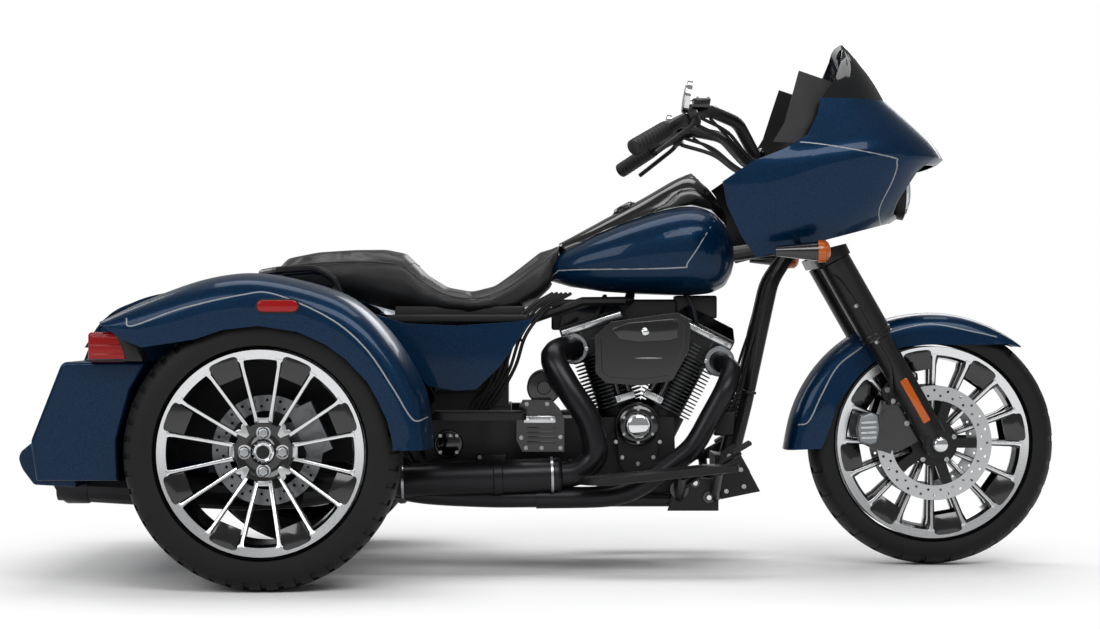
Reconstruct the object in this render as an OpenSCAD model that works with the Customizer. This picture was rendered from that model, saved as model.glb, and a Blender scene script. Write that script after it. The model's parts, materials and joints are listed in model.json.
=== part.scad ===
/* [Stance] */
// Distance between the front axle and the rear axle
wheelbase = 1670; // [1600:5:1740]
// Distance between the centre planes of the two rear wheels
rear_track = 1115; // [1095:5:1135]
// Lean of the steering axis from upright, in degrees
rake = 26; // [25:0.5:27]
// Horizontal place of the front axle, ahead of the middle of the machine
front_axle_x = 968; // [960:1:976]

/* [Wheels] */
// Radius of the front tyre over its tread
front_tyre_r = 319.3; // [316:0.1:322]
// Width of the front tyre
front_tyre_w = 130; // [120:1:136]
// Height of the front tyre's side wall
front_wall = 67.3; // [62:0.1:72]
// Radius of the rear tyre over its tread
rear_tyre_r = 325.35; // [322:0.05:328]
// Width of each rear tyre
rear_tyre_w = 215; // [205:1:221]
// Height of the rear tyres' side walls
rear_wall = 79.35; // [74:0.05:84]
// Width of one spoke seen from the side
spoke_w = 9; // [7:0.5:11]
// Depth of one spoke along the axle
spoke_deep = 26; // [20:1:32]
// Thickness of each brake disc
disc_t = 5; // [4:0.5:6]
// Radius of the two front brake discs
front_disc_r = 148; // [140:1:150]
// Radius of the rear brake discs
rear_disc_r = 132; // [125:1:138]
// Radius of the axle pin in each hub
axle_r = 12.5; // [11:0.5:14]
// Running gap between a hub bore and its axle
hub_gap = 0.3; // [0.2:0.1:0.5]

/* [Fork and bars] */
// Distance of each fork leg from the middle
fork_y = 127; // [122:1:132]
// Lean of the fork legs from upright, in degrees
fork_lean = 29.5; // [28.5:0.5:30.5]
// Radius of the lower fork slider
slider_r = 33; // [30:1:35]
// Radius of the fork shroud above the slider
shroud_r = 41; // [38:1:43]
// Radius of the handlebar tube
bar_r = 16; // [14:0.5:18]
// Radius of the rubber grips
grip_r = 19; // [18:0.5:21]

/* [Body] */
// Wall of the painted body panels
panel_t = 5; // [4:0.5:6]
// Half of the width over the rear fenders
fender_y = 690; // [686:1:694]
// Half of the width of the trunk between the wheels
trunk_y = 330; // [322:1:338]
// Wall of the trunk box
trunk_t = 8; // [6:1:10]
// Half of the width of the fairing at its widest row
fairing_y = 362; // [354:1:368]
// Half of the width of the fuel tank
tank_y = 165; // [158:1:172]
// Half of the width of the seat
seat_y = 178; // [170:1:186]
// Clearance between the trunk lid and the body round it
lid_gap = 5; // [4:0.5:6]

/* [Engine] */
// Radius of the cooling fins round each cylinder
fin_r = 74; // [70:1:78]
// Distance from one fin to the next
fin_pitch = 10; // [9:0.5:11]
// Number of fins on each cylinder
fin_count = 15; // [12:1:16]
// Angle between the two cylinders
vee = 45; // [44:0.5:46]
// Radius of the exhaust header pipes
header_r = 24; // [22:1:26]

/* [Hidden] */
$fn = 48;
rear_axle_x = front_axle_x - wheelbase;
rear_wheel_y = rear_track / 2;
seat_gap = 0.3;

// Shape helpers: vectors, closed meshes, shells and swept pipes
// Rim radii, and the shift of all that stands over the rear axle when the stance or the rear tyres change
front_rim_r = front_tyre_r - front_wall;
rear_rim_r = rear_tyre_r - rear_wall;
module at_rear() { translate([rear_axle_x + 702, 0, rear_tyre_r - 325.35]) children(); }

function unit(v) = v / norm(v);
function mix(a, b, t) = a + (b - a) * t;
function mirror_y(ring) = [for (p = ring) [p.x, -p.y, p.z]];
function six_volume(pts, faces) =
  [for (f = faces) pts[f[0]] * cross(pts[f[1]], pts[f[2]])] * [for (f = faces) 1];
function flipped(faces) = [for (f = faces) [f[2], f[1], f[0]]];

// A closed mesh of triangles, turned so that its outside faces out
module mesh(pts, faces) {
  polyhedron(pts, six_volume(pts, faces) < 0 ? faces : flipped(faces));
}

function band(a, b, n, closed = true) =
  [for (j = [0:n - (closed ? 1 : 2)]) each
    [[a + j, a + (j + 1) % n, b + (j + 1) % n], [a + j, b + (j + 1) % n, b + j]]];

// Rings with the same number of points, joined in turn and closed by a fan at each end
module loft(rings) {
  n = len(rings[0]);
  m = len(rings);
  ends = [for (r = [rings[0], rings[m - 1]]) [for (i = [0:n - 1]) 1 / n] * r];
  sides = [for (i = [0:m - 2]) each band(i * n, (i + 1) * n, n)];
  first_fan = [for (j = [0:n - 1]) [(j + 1) % n, j, m * n]];
  last_fan = [for (j = [0:n - 1]) [(m - 1) * n + j, (m - 1) * n + (j + 1) % n, m * n + 1]];
  mesh(concat([for (r = rings) each r], ends), concat(sides, first_fan, last_fan));
}

function slope(g, i, j, di, dj) =
  g[min(i + di, len(g) - 1)][min(j + dj, len(g[0]) - 1)] - g[max(i - di, 0)][max(j - dj, 0)];
function normal(g, i, j) = unit(cross(slope(g, i, j, 1, 0), slope(g, i, j, 0, 1)));

// A grid of points made into a panel with the wall t behind it
module panel(grid, t) {
  m = len(grid);
  n = len(grid[0]);
  back = m * n;
  inner = [for (i = [0:m - 1]) [for (j = [0:n - 1]) grid[i][j] - t * normal(grid, i, j)]];
  front_faces = [for (i = [0:m - 2]) each band(i * n, (i + 1) * n, n, false)];
  back_faces = [for (f = front_faces) [f[2] + back, f[1] + back, f[0] + back]];
  rim = concat([for (j = [0:n - 1]) j], [for (i = [1:m - 1]) i * n + n - 1],
    [for (j = [n - 2:-1:0]) (m - 1) * n + j], [for (i = [m - 2:-1:1]) i * n]);
  k = len(rim);
  edge = [for (i = [0:k - 1]) each [[rim[(i + 1) % k], rim[i], rim[i] + back],
    [rim[(i + 1) % k], rim[i] + back, rim[(i + 1) % k] + back]]];
  mesh([for (g = [grid, inner]) each [for (r = g) each r]], concat(front_faces, back_faces, edge));
}

function curve(a, b, c, n) =
  [for (k = [0:n]) mix(mix(a, b, k / n), mix(b, c, k / n), k / n)];
// A path whose inner corners are rounded, each starting the length cut before its corner
function rounded(path, cut, n = 4) = concat([path[0]],
  [for (i = [1:len(path) - 2])
    each curve(path[i] + cut * unit(path[i - 1] - path[i]), path[i],
      path[i] + cut * unit(path[i + 1] - path[i]), n)],
  [path[len(path) - 1]]);

function heading(path, i) =
  unit(path[min(i + 1, len(path) - 1)] - path[max(i - 1, 0)]);
function ring_round(p, dir, side, r, n) = let (u = unit(cross(dir, side)), v = cross(dir, u))
  [for (k = [0:n - 1]) p + r * (cos(360 * k / n) * u + sin(360 * k / n) * v)];

// A round pipe swept along a path, with one radius per point or one for all
module pipe(path, r, side = [0, 1, 0], n = 12) {
  loft([for (i = [0:len(path) - 1])
    ring_round(path[i], heading(path, i), side, is_list(r) ? r[i] : r, n)]);
}

// A true cylinder from one point to another
module rod(p, q, r, r2 = undef) {
  d = q - p;
  translate(p) rotate([0, acos(d.z / norm(d)), atan2(d.y, d.x)])
    cylinder(h = norm(d), r1 = r, r2 = is_undef(r2) ? r : r2);
}

module both_sides() {
  children();
  mirror([0, 1, 0]) children();
}

// A flat outline in the side view, from y0 to y1, given as [x, z] points
module side_plate(points, y0, y1) {
  translate([0, y1, 0]) rotate([90, 0, 0]) linear_extrude(y1 - y0) polygon(points);
}

// Wheels, drawn about their own axle along z with the outer face up
module at_wheel(x, y, z) { translate([x, y, z]) rotate([90, 0, 0]) children(); }
module mirrored_wheel() { mirror([0, 1, 0]) children(); }

module tyre_solid(r, w, rim_r) {
  bead = w / 2 - 21.5;
  rotate_extrude($fn = 96) polygon([[rim_r - 16, -bead], [rim_r - 4, -bead + 1], [rim_r + 2, -w / 2 + 7],
    [mix(rim_r, r, 0.45), -w / 2], [mix(rim_r, r, 0.75), -w / 2 + 4], [r - 10, -w / 2 + 14],
    [r - 2, -w / 2 + 34], [r, 0], [r - 2, w / 2 - 34], [r - 10, w / 2 - 14],
    [mix(rim_r, r, 0.75), w / 2 - 4], [mix(rim_r, r, 0.45), w / 2], [rim_r + 2, w / 2 - 7],
    [rim_r - 4, bead - 1], [rim_r - 16, bead], [rim_r - 12, bead - 12], [mix(rim_r, r, 0.6), bead - 6],
    [r - 22, bead - 20], [r - 20, 0], [r - 22, 20 - bead], [mix(rim_r, r, 0.6), 6 - bead],
    [rim_r - 12, 12 - bead]]);
}

// Rim barrel, flange, hub and sixteen spokes in eight pairs; dish is how far the hub face lies inside
module rim_solid(r, w, hub_r, hub_low, hub_high, dish, phase) {
  half = w / 2 - 20;
  face = half + 12;
  reach = r - 26 - hub_r * 0.7;
  tilt = atan2(dish, reach);
  difference() {
    union() {
      rotate_extrude($fn = 96) polygon([[r - 30, -half + 10], [r - 17, -half - 6], [r - 4, -half - 12],
        [r - 3, -half - 8], [r - 5, -half], [r - 17, -half + 1], [r - 26, 0], [r - 17, half - 1], [r - 5, half],
        [r - 3, half + 8], [r - 4, face], [r - 26, face - 4], [r - 32, half - 8], [r - 36, 0]]);
      translate([0, 0, hub_low]) cylinder(h = hub_high - hub_low, r = hub_r);
      for (pad = [0:7], side = [-1, 1])
        rotate([0, 0, phase + pad * 45 + side * 9.5])
          translate([hub_r * 0.7, 0, face - 10 - dish]) rotate([0, -tilt, side * 1.5])
            translate([0, -spoke_w / 2, -spoke_deep]) cube([reach / cos(tilt), spoke_w, spoke_deep]);
      for (pad = [0:7]) rotate([0, 0, phase + pad * 45])
        translate([r - 56, -28, face - 35]) cube([30, 56, 22]);
    }
    translate([0, 0, hub_low - 1]) cylinder(h = hub_high - hub_low - 11, r = axle_r + hub_gap);
  }
}

module disc_solid(r, z, carrier_r) {
  translate([0, 0, z]) difference() {
    union() {
      difference() {
        cylinder(h = disc_t, r = r, $fn = 96);
        translate([0, 0, -1]) cylinder(h = disc_t + 2, r = r - 38);
        for (k = [0:23], row = [0:1])
          rotate([0, 0, k * 15 + row * 7.5]) translate([r - 12 - row * 14, 0, -1]) cylinder(h = disc_t + 2, r = 3.5, $fn = 13);
      }
      for (k = [0:4]) rotate([0, 0, k * 72]) translate([carrier_r - 6, -13, 0]) cube([r - 30 - carrier_r, 26, disc_t]);
      cylinder(h = disc_t, r = carrier_r);
    }
    translate([0, 0, -1]) cylinder(h = disc_t + 2, r = axle_r + hub_gap);
  }
}

front_hub_y = 72;
disc_y = front_hub_y;
module front_tyre() {
  color("#151515") at_wheel(front_axle_x, 0, front_tyre_r) tyre_solid(front_tyre_r, front_tyre_w, front_rim_r);
}
module front_rim() {
  color("#9a9a9c") at_wheel(front_axle_x, 0, front_tyre_r) difference() {
    rim_solid(front_rim_r, front_tyre_w, 40, -front_hub_y, front_hub_y, 12, 10);
    translate([0, 0, -front_hub_y - 1]) cylinder(h = 2 * front_hub_y + 2, r = axle_r + hub_gap);
  }
}
module front_discs() {
  color("silver") at_wheel(front_axle_x, 0, front_tyre_r) {
    disc_solid(front_disc_r, disc_y, 60);
    disc_solid(front_disc_r, -disc_y - disc_t, 60);
  }
}

rear_hub_low = -45;
rear_hub_high = 30;
module rear_tyre() {
  color("#151515") at_wheel(rear_axle_x, -rear_wheel_y, rear_tyre_r) tyre_solid(rear_tyre_r, rear_tyre_w, rear_rim_r);
}
module rear_rim() {
  color("#9a9a9c") at_wheel(rear_axle_x, -rear_wheel_y, rear_tyre_r)
    rim_solid(rear_rim_r, rear_tyre_w, 62, rear_hub_low, rear_hub_high, 66, 22.5);
}
module rear_disc() {
  color("silver") at_wheel(rear_axle_x, -rear_wheel_y, rear_tyre_r)
    disc_solid(rear_disc_r, rear_hub_low - disc_t, 62);
}
module rear_tyre_right() { rear_tyre(); }
module rear_rim_right() { rear_rim(); }
module rear_disc_right() { rear_disc(); }
module rear_tyre_left() { mirrored_wheel() rear_tyre(); }
module rear_rim_left() { mirrored_wheel() rear_rim(); }
module rear_disc_left() { mirrored_wheel() rear_disc(); }

// Axle beam between the rear wheels, with its spindles and the final drive pulley
axle_flange_y = rear_wheel_y + rear_hub_low - disc_t - 6;
module rear_axle() {
  color("#1c1c1e") translate([rear_axle_x, 0, rear_tyre_r]) rotate([90, 0, 0]) {
    translate([0, 0, -axle_flange_y]) cylinder(h = 2 * axle_flange_y, r = 38);
    translate([0, 0, -rear_wheel_y - 10]) cylinder(h = 2 * rear_wheel_y + 20, r = axle_r);
    sphere(r = 95);
    for (y = [-axle_flange_y, axle_flange_y - 10]) translate([0, 0, y]) cylinder(h = 10, r = 55);
    translate([0, 0, -160]) cylinder(h = 30, r = 108);
  }
}

// Calipers straddle their disc with 5 mm clear all round; inner and outer are the depths beside the slot
caliper_gap = 5;
module caliper(x, y, z, turn, reach, inner, outer) {
  slot = disc_t / 2 + caliper_gap;
  translate([x, y, z]) rotate([0, turn, 0]) difference() {
    union() {
      translate([-30, -slot - inner, -62]) cube([60, 2 * slot + inner + outer, 124]);
      for (k = [-1, 1]) rod([0, slot, 30 * k], [0, slot + outer + 5, 30 * k], 22);
    }
    translate([-31, -slot, -70]) cube([31 + reach + caliper_gap, 2 * slot, 140]);
  }
}
front_caliper_r = 132;
front_caliper_at = 18;
module front_calipers() {
  color("#2a2a2c") both_sides() {
    caliper(front_axle_x - front_caliper_r * cos(front_caliper_at), disc_y + disc_t / 2,
      front_tyre_r + front_caliper_r * sin(front_caliper_at), 180 + front_caliper_at,
      front_disc_r - front_caliper_r, 14, 16);
    side_plate([[820, 300], [820, 392], [870, 400], [950, 378], [950, 340], [880, 300]], 86, 93.7);
  }
}
rear_caliper_r = 116;
rear_caliper_at = 25;
module rear_calipers() {
  color("#8c8c90") both_sides() {
    caliper(rear_axle_x + rear_caliper_r * cos(rear_caliper_at), rear_wheel_y + rear_hub_low - disc_t / 2,
      rear_tyre_r + rear_caliper_r * sin(rear_caliper_at), -rear_caliper_at, rear_disc_r - rear_caliper_r, 24, 20);
    translate([rear_axle_x, axle_flange_y - 20, rear_tyre_r]) rotate([90, 0, 0]) difference() {
      hull() {
        cylinder(h = 10, r = 54, $fn = 32);
        rotate([0, 0, rear_caliper_at]) translate([116, 0, 0]) cylinder(h = 10, r = 26, $fn = 32);
      }
      translate([0, 0, -1]) cylinder(h = 12, r = 38.3);
    }
  }
}

// Steering: the axis leans back by the rake and passes through a point under the fairing
steer_x = 693;
steer_z = 785;
function on_axis(z) = [steer_x - (z - steer_z) * tan(rake), 0, z];
function on_leg(y, z) = [front_axle_x - (z - front_tyre_r) * tan(fork_lean), y, z];
yoke_low = 800;
yoke_high = 940;
module fork_yokes() {
  color("#141414") {
    rod(on_axis(yoke_low - 25), on_axis(yoke_high + 30), 15);
    for (z = [yoke_low, yoke_high]) hull() {
      for (k = [-1, 1]) translate(on_leg(k * fork_y, z)) rotate([0, -rake, 0]) cylinder(h = 26, r = shroud_r + 6, center = true, $fn = 32);
      translate(on_axis(z)) rotate([0, -rake, 0]) cylinder(h = 26, r = 34, center = true, $fn = 32);
    }
  }
}
module fork_legs() {
  color("#19191b") {
    for (k = [-1, 1]) {
      rod(on_leg(k * fork_y, front_tyre_r), on_leg(k * fork_y, 600), slider_r);
      rod(on_leg(k * fork_y, 590), on_leg(k * fork_y, yoke_low - 14.2), shroud_r);
      translate([front_axle_x, k * (fork_y - slider_r + 2), front_tyre_r]) rotate([k * -90, 0, 0]) cylinder(h = 2 * slider_r - 4, r = 36);
    }
    rod([front_axle_x, -fork_y - 40, front_tyre_r], [front_axle_x, fork_y + 40, front_tyre_r], axle_r);
  }
}

// Front fender stations round the wheel: angle from the front, crown radius, depth of its sides, half width
front_fender_rows = [[47.5, 339, 5, 60], [53, 339, 20, 74], [60, 339, 46, 78], [70, 339, 69, 80],
  [82, 339, 83, 81], [95, 339, 84, 81], [108, 342, 82, 81], [120, 347, 84, 81], [134, 353, 92, 82],
  [147, 360, 96, 83], [160, 368, 97, 85], [172, 375, 102, 84], [183, 383, 92, 80]];
function fender_cross(a, r, w) = [for (t = [-90:18:90])
  let (d = r - 46 * (1 - cos(t)) ) [front_axle_x + d * cos(a), w * sin(t), front_tyre_r + d * sin(a)]];
// Columns over the fender: share of the half width, share of the side's depth
front_fender_cols = [[-1, 1], [-1, 0.72], [-0.99, 0.46], [-0.9, 0.2], [-0.68, 0.06], [-0.36, 0.01], [0, 0],
  [0.36, 0.01], [0.68, 0.06], [0.9, 0.2], [0.99, 0.46], [1, 0.72], [1, 1]];
module front_fender() {
  color("#0f3a6e") {
    panel([for (row = front_fender_rows) [for (c = front_fender_cols) let (d = row[1] - row[2] * c[1])
      [front_axle_x + d * cos(row[0]), row[3] * c[0], front_tyre_r + d * sin(row[0])]]], -4);
    for (k = [-1, 1]) rod(on_leg(k * 79, 560), on_leg(k * (fork_y - slider_r - seat_gap), 560), 15);
  }
}

// Handlebar: right half of the route, then its mirror image
bar_route = [[509, -50, 1052], [500, -128, 1056], [446, -235, 1133], [365, -318, 1157], [285, -335, 1122], [179, -430, 1056]];
bar_half = rounded(bar_route, 28, 4);
steer_up = [-sin(rake), 0, cos(rake)];
riser_foot = on_axis(yoke_high) + 13.5 * steer_up;
module handlebar() {
  color("#141414") {
    pipe(concat([for (i = [len(bar_half) - 1:-1:0]) bar_half[i]], mirror_y(bar_half)), bar_r, [0, 0.3, 1]);
    both_sides() {
      rod(riser_foot + [0, 50, 0], riser_foot + [0, 50, 0] + 62 * steer_up, 18);
      rod(riser_foot + [0, 50, 0] + 50 * steer_up, [512, 50, 1052], 17);
    }
  }
}
function bar_at(t) = mix(bar_route[4], bar_route[5], t);
function pod_at(t) = mix(bar_route[3], bar_route[4], t);
module hand_controls() {
  color("#101010") both_sides() mirror([0, 1, 0]) difference() {
    union() {
      rod(bar_at(0.22), bar_at(1.02), grip_r + 1);
      rod(pod_at(0.36), pod_at(0.64), 26);
      pipe(rounded([pod_at(0.6) + [17, -12, 4], bar_at(0.1) + [52, -26, 0], bar_at(0.95) + [46, -14, -18]], 20, 3), 6.5, [0, 0, 1], 8);
    }
    rod(bar_at(0.1), bar_at(1.004), bar_r + 0.5);
    rod(pod_at(0.2), pod_at(0.8), bar_r + 0.6);
  }
}
mirror_at = [307, -420, 1174];
module mirrors() {
  color("#141414") both_sides() mirror([0, 1, 0]) {
    pipe(rounded([pod_at(0.5) + [0, 0, 29.2], pod_at(0.5) + [0, 0, 50], mirror_at + [4, 0, -8]], 12, 4), 5.5, [1, 0, 0], 8);
    translate(mirror_at) rotate([0, -80, 0]) rotate([0, 0, 20]) hull() {
      translate([10, 24, 0]) cylinder(h = 12, r = 34, center = true, $fn = 32);
      translate([-6, -24, 0]) cylinder(h = 12, r = 40, center = true, $fn = 32);
    }
  }
}
// Frame: a true steering head with welded tubes behind it
head_low = on_axis(yoke_low + 22);
head_high = on_axis(yoke_high - 22);
cradle = [[655, 18, 850], [592, 70, 802], [548, 98, 735], [478, 118, 420], [424, 122, 205], [380, 125, 175], [-250, 135, 175],
  [-340, 150, 240], [-440, 150, 420], [-400, 95, 628], [-120, 60, 628]];
// Frame: a true steering head with welded tubes behind it and the fairing's carrier ahead of it
carrier_x = 816;
module frame() {
  color("#121213") difference() {
    union() {
      rod(head_low, head_high, 30);
      pipe([[640, 0, 852], [560, 0, 824], [300, 0, 785], [140, 0, 744]], 20);
      both_sides() {
        pipe([[186, 0, 748], [186, 10, 702], [182, 40, 686], [165, 94, 685], [60, 96, 684], [-60, 92, 642], [-125, 66, 628]], 12.4, [0.3, 0.3, 1], 8);
        pipe(rounded(cradle, 26, 3), 16, [0, 1, 0], 10);
        pipe([[-325, 150, 230], [-480, 180, 270], [rear_axle_x + 102, 200, rear_tyre_r], [rear_axle_x + 38.3, 200, rear_tyre_r]], 20, [0, 1, 0], 10);
      }
      for (x = [370, 40, -200]) rod([x, -125, 176], [x, 125, 176], 13);
      rod([-200, 0, 180], [-200, 0, 211.7], 20);
      both_sides() rod([rear_axle_x + 102, 200, rear_tyre_r], [rear_axle_x + 102, 200, rear_tyre_r + 114.2], 14);
      rod([-130, -60, 622], [-130, 60, 622], 12);
      side_plate([[650, 838], [700, 852], [carrier_x, 905], [carrier_x + 12, 1090], [carrier_x, 1090], [770, 920], [690, 895], [634, 905]], -24, 24);
      side_plate([[carrier_x, 966], [carrier_x + 13, 966], [carrier_x + 13, 1000], [carrier_x, 1000]], -270, 270);
    }
    rod(on_axis(yoke_low), on_axis(yoke_high), 15.5);
  }
}

// Engine: a crankcase with two finned cylinders in a vee, all leaning forward a little
crank = [200, 0, 266];
engine_lean = 4.5;
module along_cylinder(side) {
  translate(crank) rotate([0, engine_lean + side * vee / 2, 0]) children();
}
cylinder_low = 156;
head_h = 62;
fins_top = cylinder_low + fin_count * fin_pitch;
vee_gap = 1.5;
case_y = 105;
module engine_case() {
  color("#1b1b1d") union() {
    translate(crank) rotate([90, 0, 0]) cylinder(h = 2 * case_y, r = 104, center = true);
    hull() {
      translate(crank + [0, 0, 60]) cube([190, 180, 120], center = true);
      translate(crank + [0, 0, -60]) cube([200, 200, 30], center = true);
    }
    translate([-345, -100, 212]) cube([460, 200, 172]);
    translate([-330, -90, 380]) cube([205, 180, 40]);
    translate([-322, -94, 414]) cube([190, 188, 186]);
    rod([-40, -88, 462], [-40, 96, 462], 44);
    translate([-60, -70, 380]) cube([44, 140, 60]);
    for (s = [-1, 1]) along_cylinder(s) translate([0, 0, 80]) cylinder(h = cylinder_low - 80 - seat_gap, r = 62);
  }
}
module cylinders() {
  color("#1b1b1d") for (s = [-1, 1]) difference() {
    along_cylinder(s) {
      translate([0, 0, cylinder_low]) cylinder(h = fin_count * fin_pitch + 30, r = 50);
      for (k = [0:fin_count - 1]) translate([0, 0, cylinder_low + 4 + k * fin_pitch]) cylinder(h = 3.5, r = fin_r);
      for (k = [0:3]) translate([-82, -74, fins_top + 4 + k * fin_pitch]) cube([164, 148, 4]);
      translate([-74, -66, fins_top]) cube([148, 132, head_h]);
    }
    translate(crank) rotate([0, engine_lean, 0]) translate([s > 0 ? vee_gap - 200 : -vee_gap, -100, 100]) cube([200, 200, 300]);
  }
}
module rocker_covers() {
  color("#3a3a3c") for (s = [-1, 1]) along_cylinder(s) translate([0, 0, fins_top + head_h + seat_gap]) {
    translate([-84, -72, 0]) cube([168, 144, 22]);
    hull() {
      translate([-84, -64, 22]) cube([168, 128, 4]);
      translate([-66, -44, 50]) cube([132, 88, 6]);
    }
  }
}
air_outline = [[92, 500], [88, 596], [130, 632], [300, 656], [332, 628], [328, 560], [286, 482], [206, 470], [118, 476]];
module air_cleaner() {
  color("#3c3c3e") {
    translate([0, -112, 0]) rotate([90, 0, 0]) linear_extrude(68) offset(r = 14) offset(r = -14) polygon([for (p = air_outline) p]);
    translate([0, -180, 0]) rotate([90, 0, 0]) linear_extrude(6) offset(r = -16) polygon(air_outline);
    rod([205, -82.5, 560], [205, -112, 560], 46);
    for (x = [120, 308]) rod([x, -74.3, 574], [x, -114, 574], 13);
  }
}
cam_y = case_y + seat_gap;
module cam_cover() {
  color("#1b1b1d") {
    rod([200, -cam_y, 367], [200, -cam_y - 46, 367], 52);
    rod([200, -cam_y - 46, 367], [200, -cam_y - 54, 367], 32);
    hull() {
      translate([200, -cam_y - 13, 367]) rotate([90, 0, 0]) cylinder(h = 26, r = 58, center = true, $fn = 32);
      translate([200, -cam_y - 13, 285]) rotate([90, 0, 0]) cylinder(h = 26, r = 50, center = true, $fn = 32);
    }
  }
}
module gearbox_cover() {
  color("#1b1b1d") {
    side_plate([[-95, 300], [12, 300], [12, 385], [0, 410], [-20, 432], [-95, 432], [-110, 400], [-110, 330]], -140, -100.3);
    side_plate([[-90, 372], [8, 372], [8, 394], [-90, 394]], -150, -140);
  }
}
module primary_cover() {
  color("#1b1b1d") hull() {
    for (c = [[190, 300, 105], [-150, 300, 88]]) translate([c[0], cam_y, c[1]]) rotate([-90, 0, 0]) cylinder(h = 46, r = c[2], $fn = 32);
    for (c = [[190, 300, 92], [-150, 300, 74]]) translate([c[0], cam_y, c[1]]) rotate([-90, 0, 0]) cylinder(h = 62, r = c[2], $fn = 32);
  }
}

// Exhaust: the two headers run down the right side and meet ahead of the mufflers
rear_header = [[36, -76.2, 560], [34, -100, 559.8], [0, -130, 556], [-20, -185, 535], [15, -205, 470], [79, -213, 368], [85, -215, 300], [60, -215, 232], [-60, -218, 225], [-430, -235, 225], [-470, -235, 225]];
front_header = [[412, -74.5, 528], [413, -104, 527.5], [438, -150, 505], [425, -182, 470], [340, -190, 320], [240, -205, 240], [150, -210, 192], [-60, -215, 190]];
crossover = [[-400, -222, 204], [-402, -150, 188], [-402, 150, 188], [-430, 228, 222], [-448, 235, 225], [-470, 235, 225]];
module exhaust_headers() {
  color("#2b2b2d") {
    pipe(rounded(rear_header, 19, 3), header_r + 6, [0, 1, 0], 14);
    pipe(rounded(front_header, 20, 3), header_r, [0, 1, 0], 12);
    pipe(rounded(crossover, 16, 2), header_r - 6, [0, 0.2, 1], 10);
  }
}
pipe_y = 235;
tip_y = 385;
tip_z = 237;
module mufflers() {
  color("#1d1d1f") both_sides() difference() {
    pipe([[-470.5, -pipe_y, 225], [-488, -pipe_y, 225], [-550, -268, 221], [-650, -342, 214], [-760, -tip_y, 214], [-1000, -tip_y, 226], [-1225, -tip_y, tip_z]],
      [header_r + 6, header_r + 6, 38, 42, 44, 44, 42], [0, 0, 1], 16);
    rod([-1160, -tip_y, tip_z], [-1260, -tip_y, tip_z], tip_r);
  }
}

// Rounded cross-section at one place along the machine: centre height, half width, half height, squareness
function oval(x, z, w, h, e = 0.7, n = 16) = [for (k = [0:n - 1]) let (a = 360 * k / n, c = cos(a), s = sin(a))
  [x, w * sign(c) * pow(abs(c), e), z + h * sign(s) * pow(abs(s), e)]];

// Fuel tank sections: place along the machine, bottom height, top height, half width
tank_rows = [[-43, 752, 772, 18], [-25, 738, 792, 70], [30, 722, 824, 108], [118, 709, 872, 140],
  [200, 703, 903, 158], [280, 700, 928, 165], [345, 699, 938, 163], [395, 704, 924, 150], [430, 722, 888, 124], [452, 762, 842, 70]];
module tank_loft(grow) {
  loft([for (r = tank_rows) oval(r[0], (r[1] + r[2]) / 2, r[3] * tank_y / 165 + grow, (r[2] - r[1]) / 2 + grow, 0.72, 20)]);
}
module fuel_tank() {
  color("#0f3a6e") difference() {
    tank_loft(0);
    translate([-60, -28, 640]) cube([600, 56, 194]);
  }
}
console_rows = [[0, 795, 836, 30], [60, 812, 868, 52], [150, 846, 918, 62], [240, 862, 966, 66], [300, 866, 1005, 64], [345, 862, 1022, 58], [400, 850, 978, 48], [436, 846, 915, 36]];
module tank_console() {
  color("#161617") difference() {
    loft([for (r = console_rows) oval(r[0], (r[1] + r[2]) / 2, r[3], (r[2] - r[1]) / 2, 0.8, 16)]);
    tank_loft(seat_gap);
  }
}

// Seat sections: place along the machine, bottom height, top height, half width
seat_rows = [[-744, 745, 765, 90], [-715, 720, 792, 130], [-623, 696, 810, 150], [-530, 690, 816, 158], [-450, 668, 817, 160],
  [-395, 655, 806, 160], [-345, 648, 752, 168], [-290, 646, 718, 175], [-225, 646, 707, 178], [-165, 648, 722, 168],
  [-110, 656, 762, 140], [-60, 686, 802, 112], [-22, 722, 834, 92], [0, 745, 842, 74]];
module seat() {
  color("#1a1a1b") difference() {
    loft([for (r = seat_rows) oval(r[0], (r[1] + r[2]) / 2, r[3] * seat_y / 178, (r[2] - r[1]) / 2, 0.62, 20)]);
    tank_loft(0.6);
  }
}
rail_half = [[-575, -176, 665.4], [-560, -183, 735], [-616, -186, 768], [-712, -172, 763], [-768, -90, 757]];
module grab_rail() {
  color("#202022") pipe(rounded(concat(rail_half, [for (i = [len(rail_half) - 1:-1:0]) [rail_half[i].x, -rail_half[i].y, rail_half[i].z]]), 26, 3), 10, [0.05, 0.2, 1], 10);
}

// Painted covers under the seat
cover_outline = [[-490, 640], [-480, 655], [-390, 628], [-260, 622], [-110, 632], [-70, 640], [-150, 520], [-210, 462], [-262, 458], [-330, 470]];
module side_covers() {
  color("#0f3a6e") both_sides() {
    difference() {
      side_plate(cover_outline, 190, 232);
      side_plate([for (p = cover_outline) [-280 + (p[0] + 280) * 0.93, 550 + (p[1] - 550) * 0.9]], 180, 226);
    }
    rod([-402, 123.8, 590], [-402, 230, 590], 10);
  }
}

// Rear fender rows from tail tip to front foot: crown point x z, then opening edge x z
fender_rows = [[-1079, 635, -1052, 614], [-1033, 661, -1020, 592], [-990, 682, -975, 573], [-936, 703, -920, 581],
  [-860, 732, -850, 592], [-780, 748, -785, 614], [-710, 751, -702, 623], [-612, 732, -612, 609], [-548, 713, -548, 580],
  [-496, 693, -500, 545], [-440, 648, -450, 492], [-395, 597, -424, 446], [-360, 548, -404, 402], [-330, 490, -394, 362],
  [-312, 443, -391, 345], [-305, 334, -392, 334]];
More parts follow.
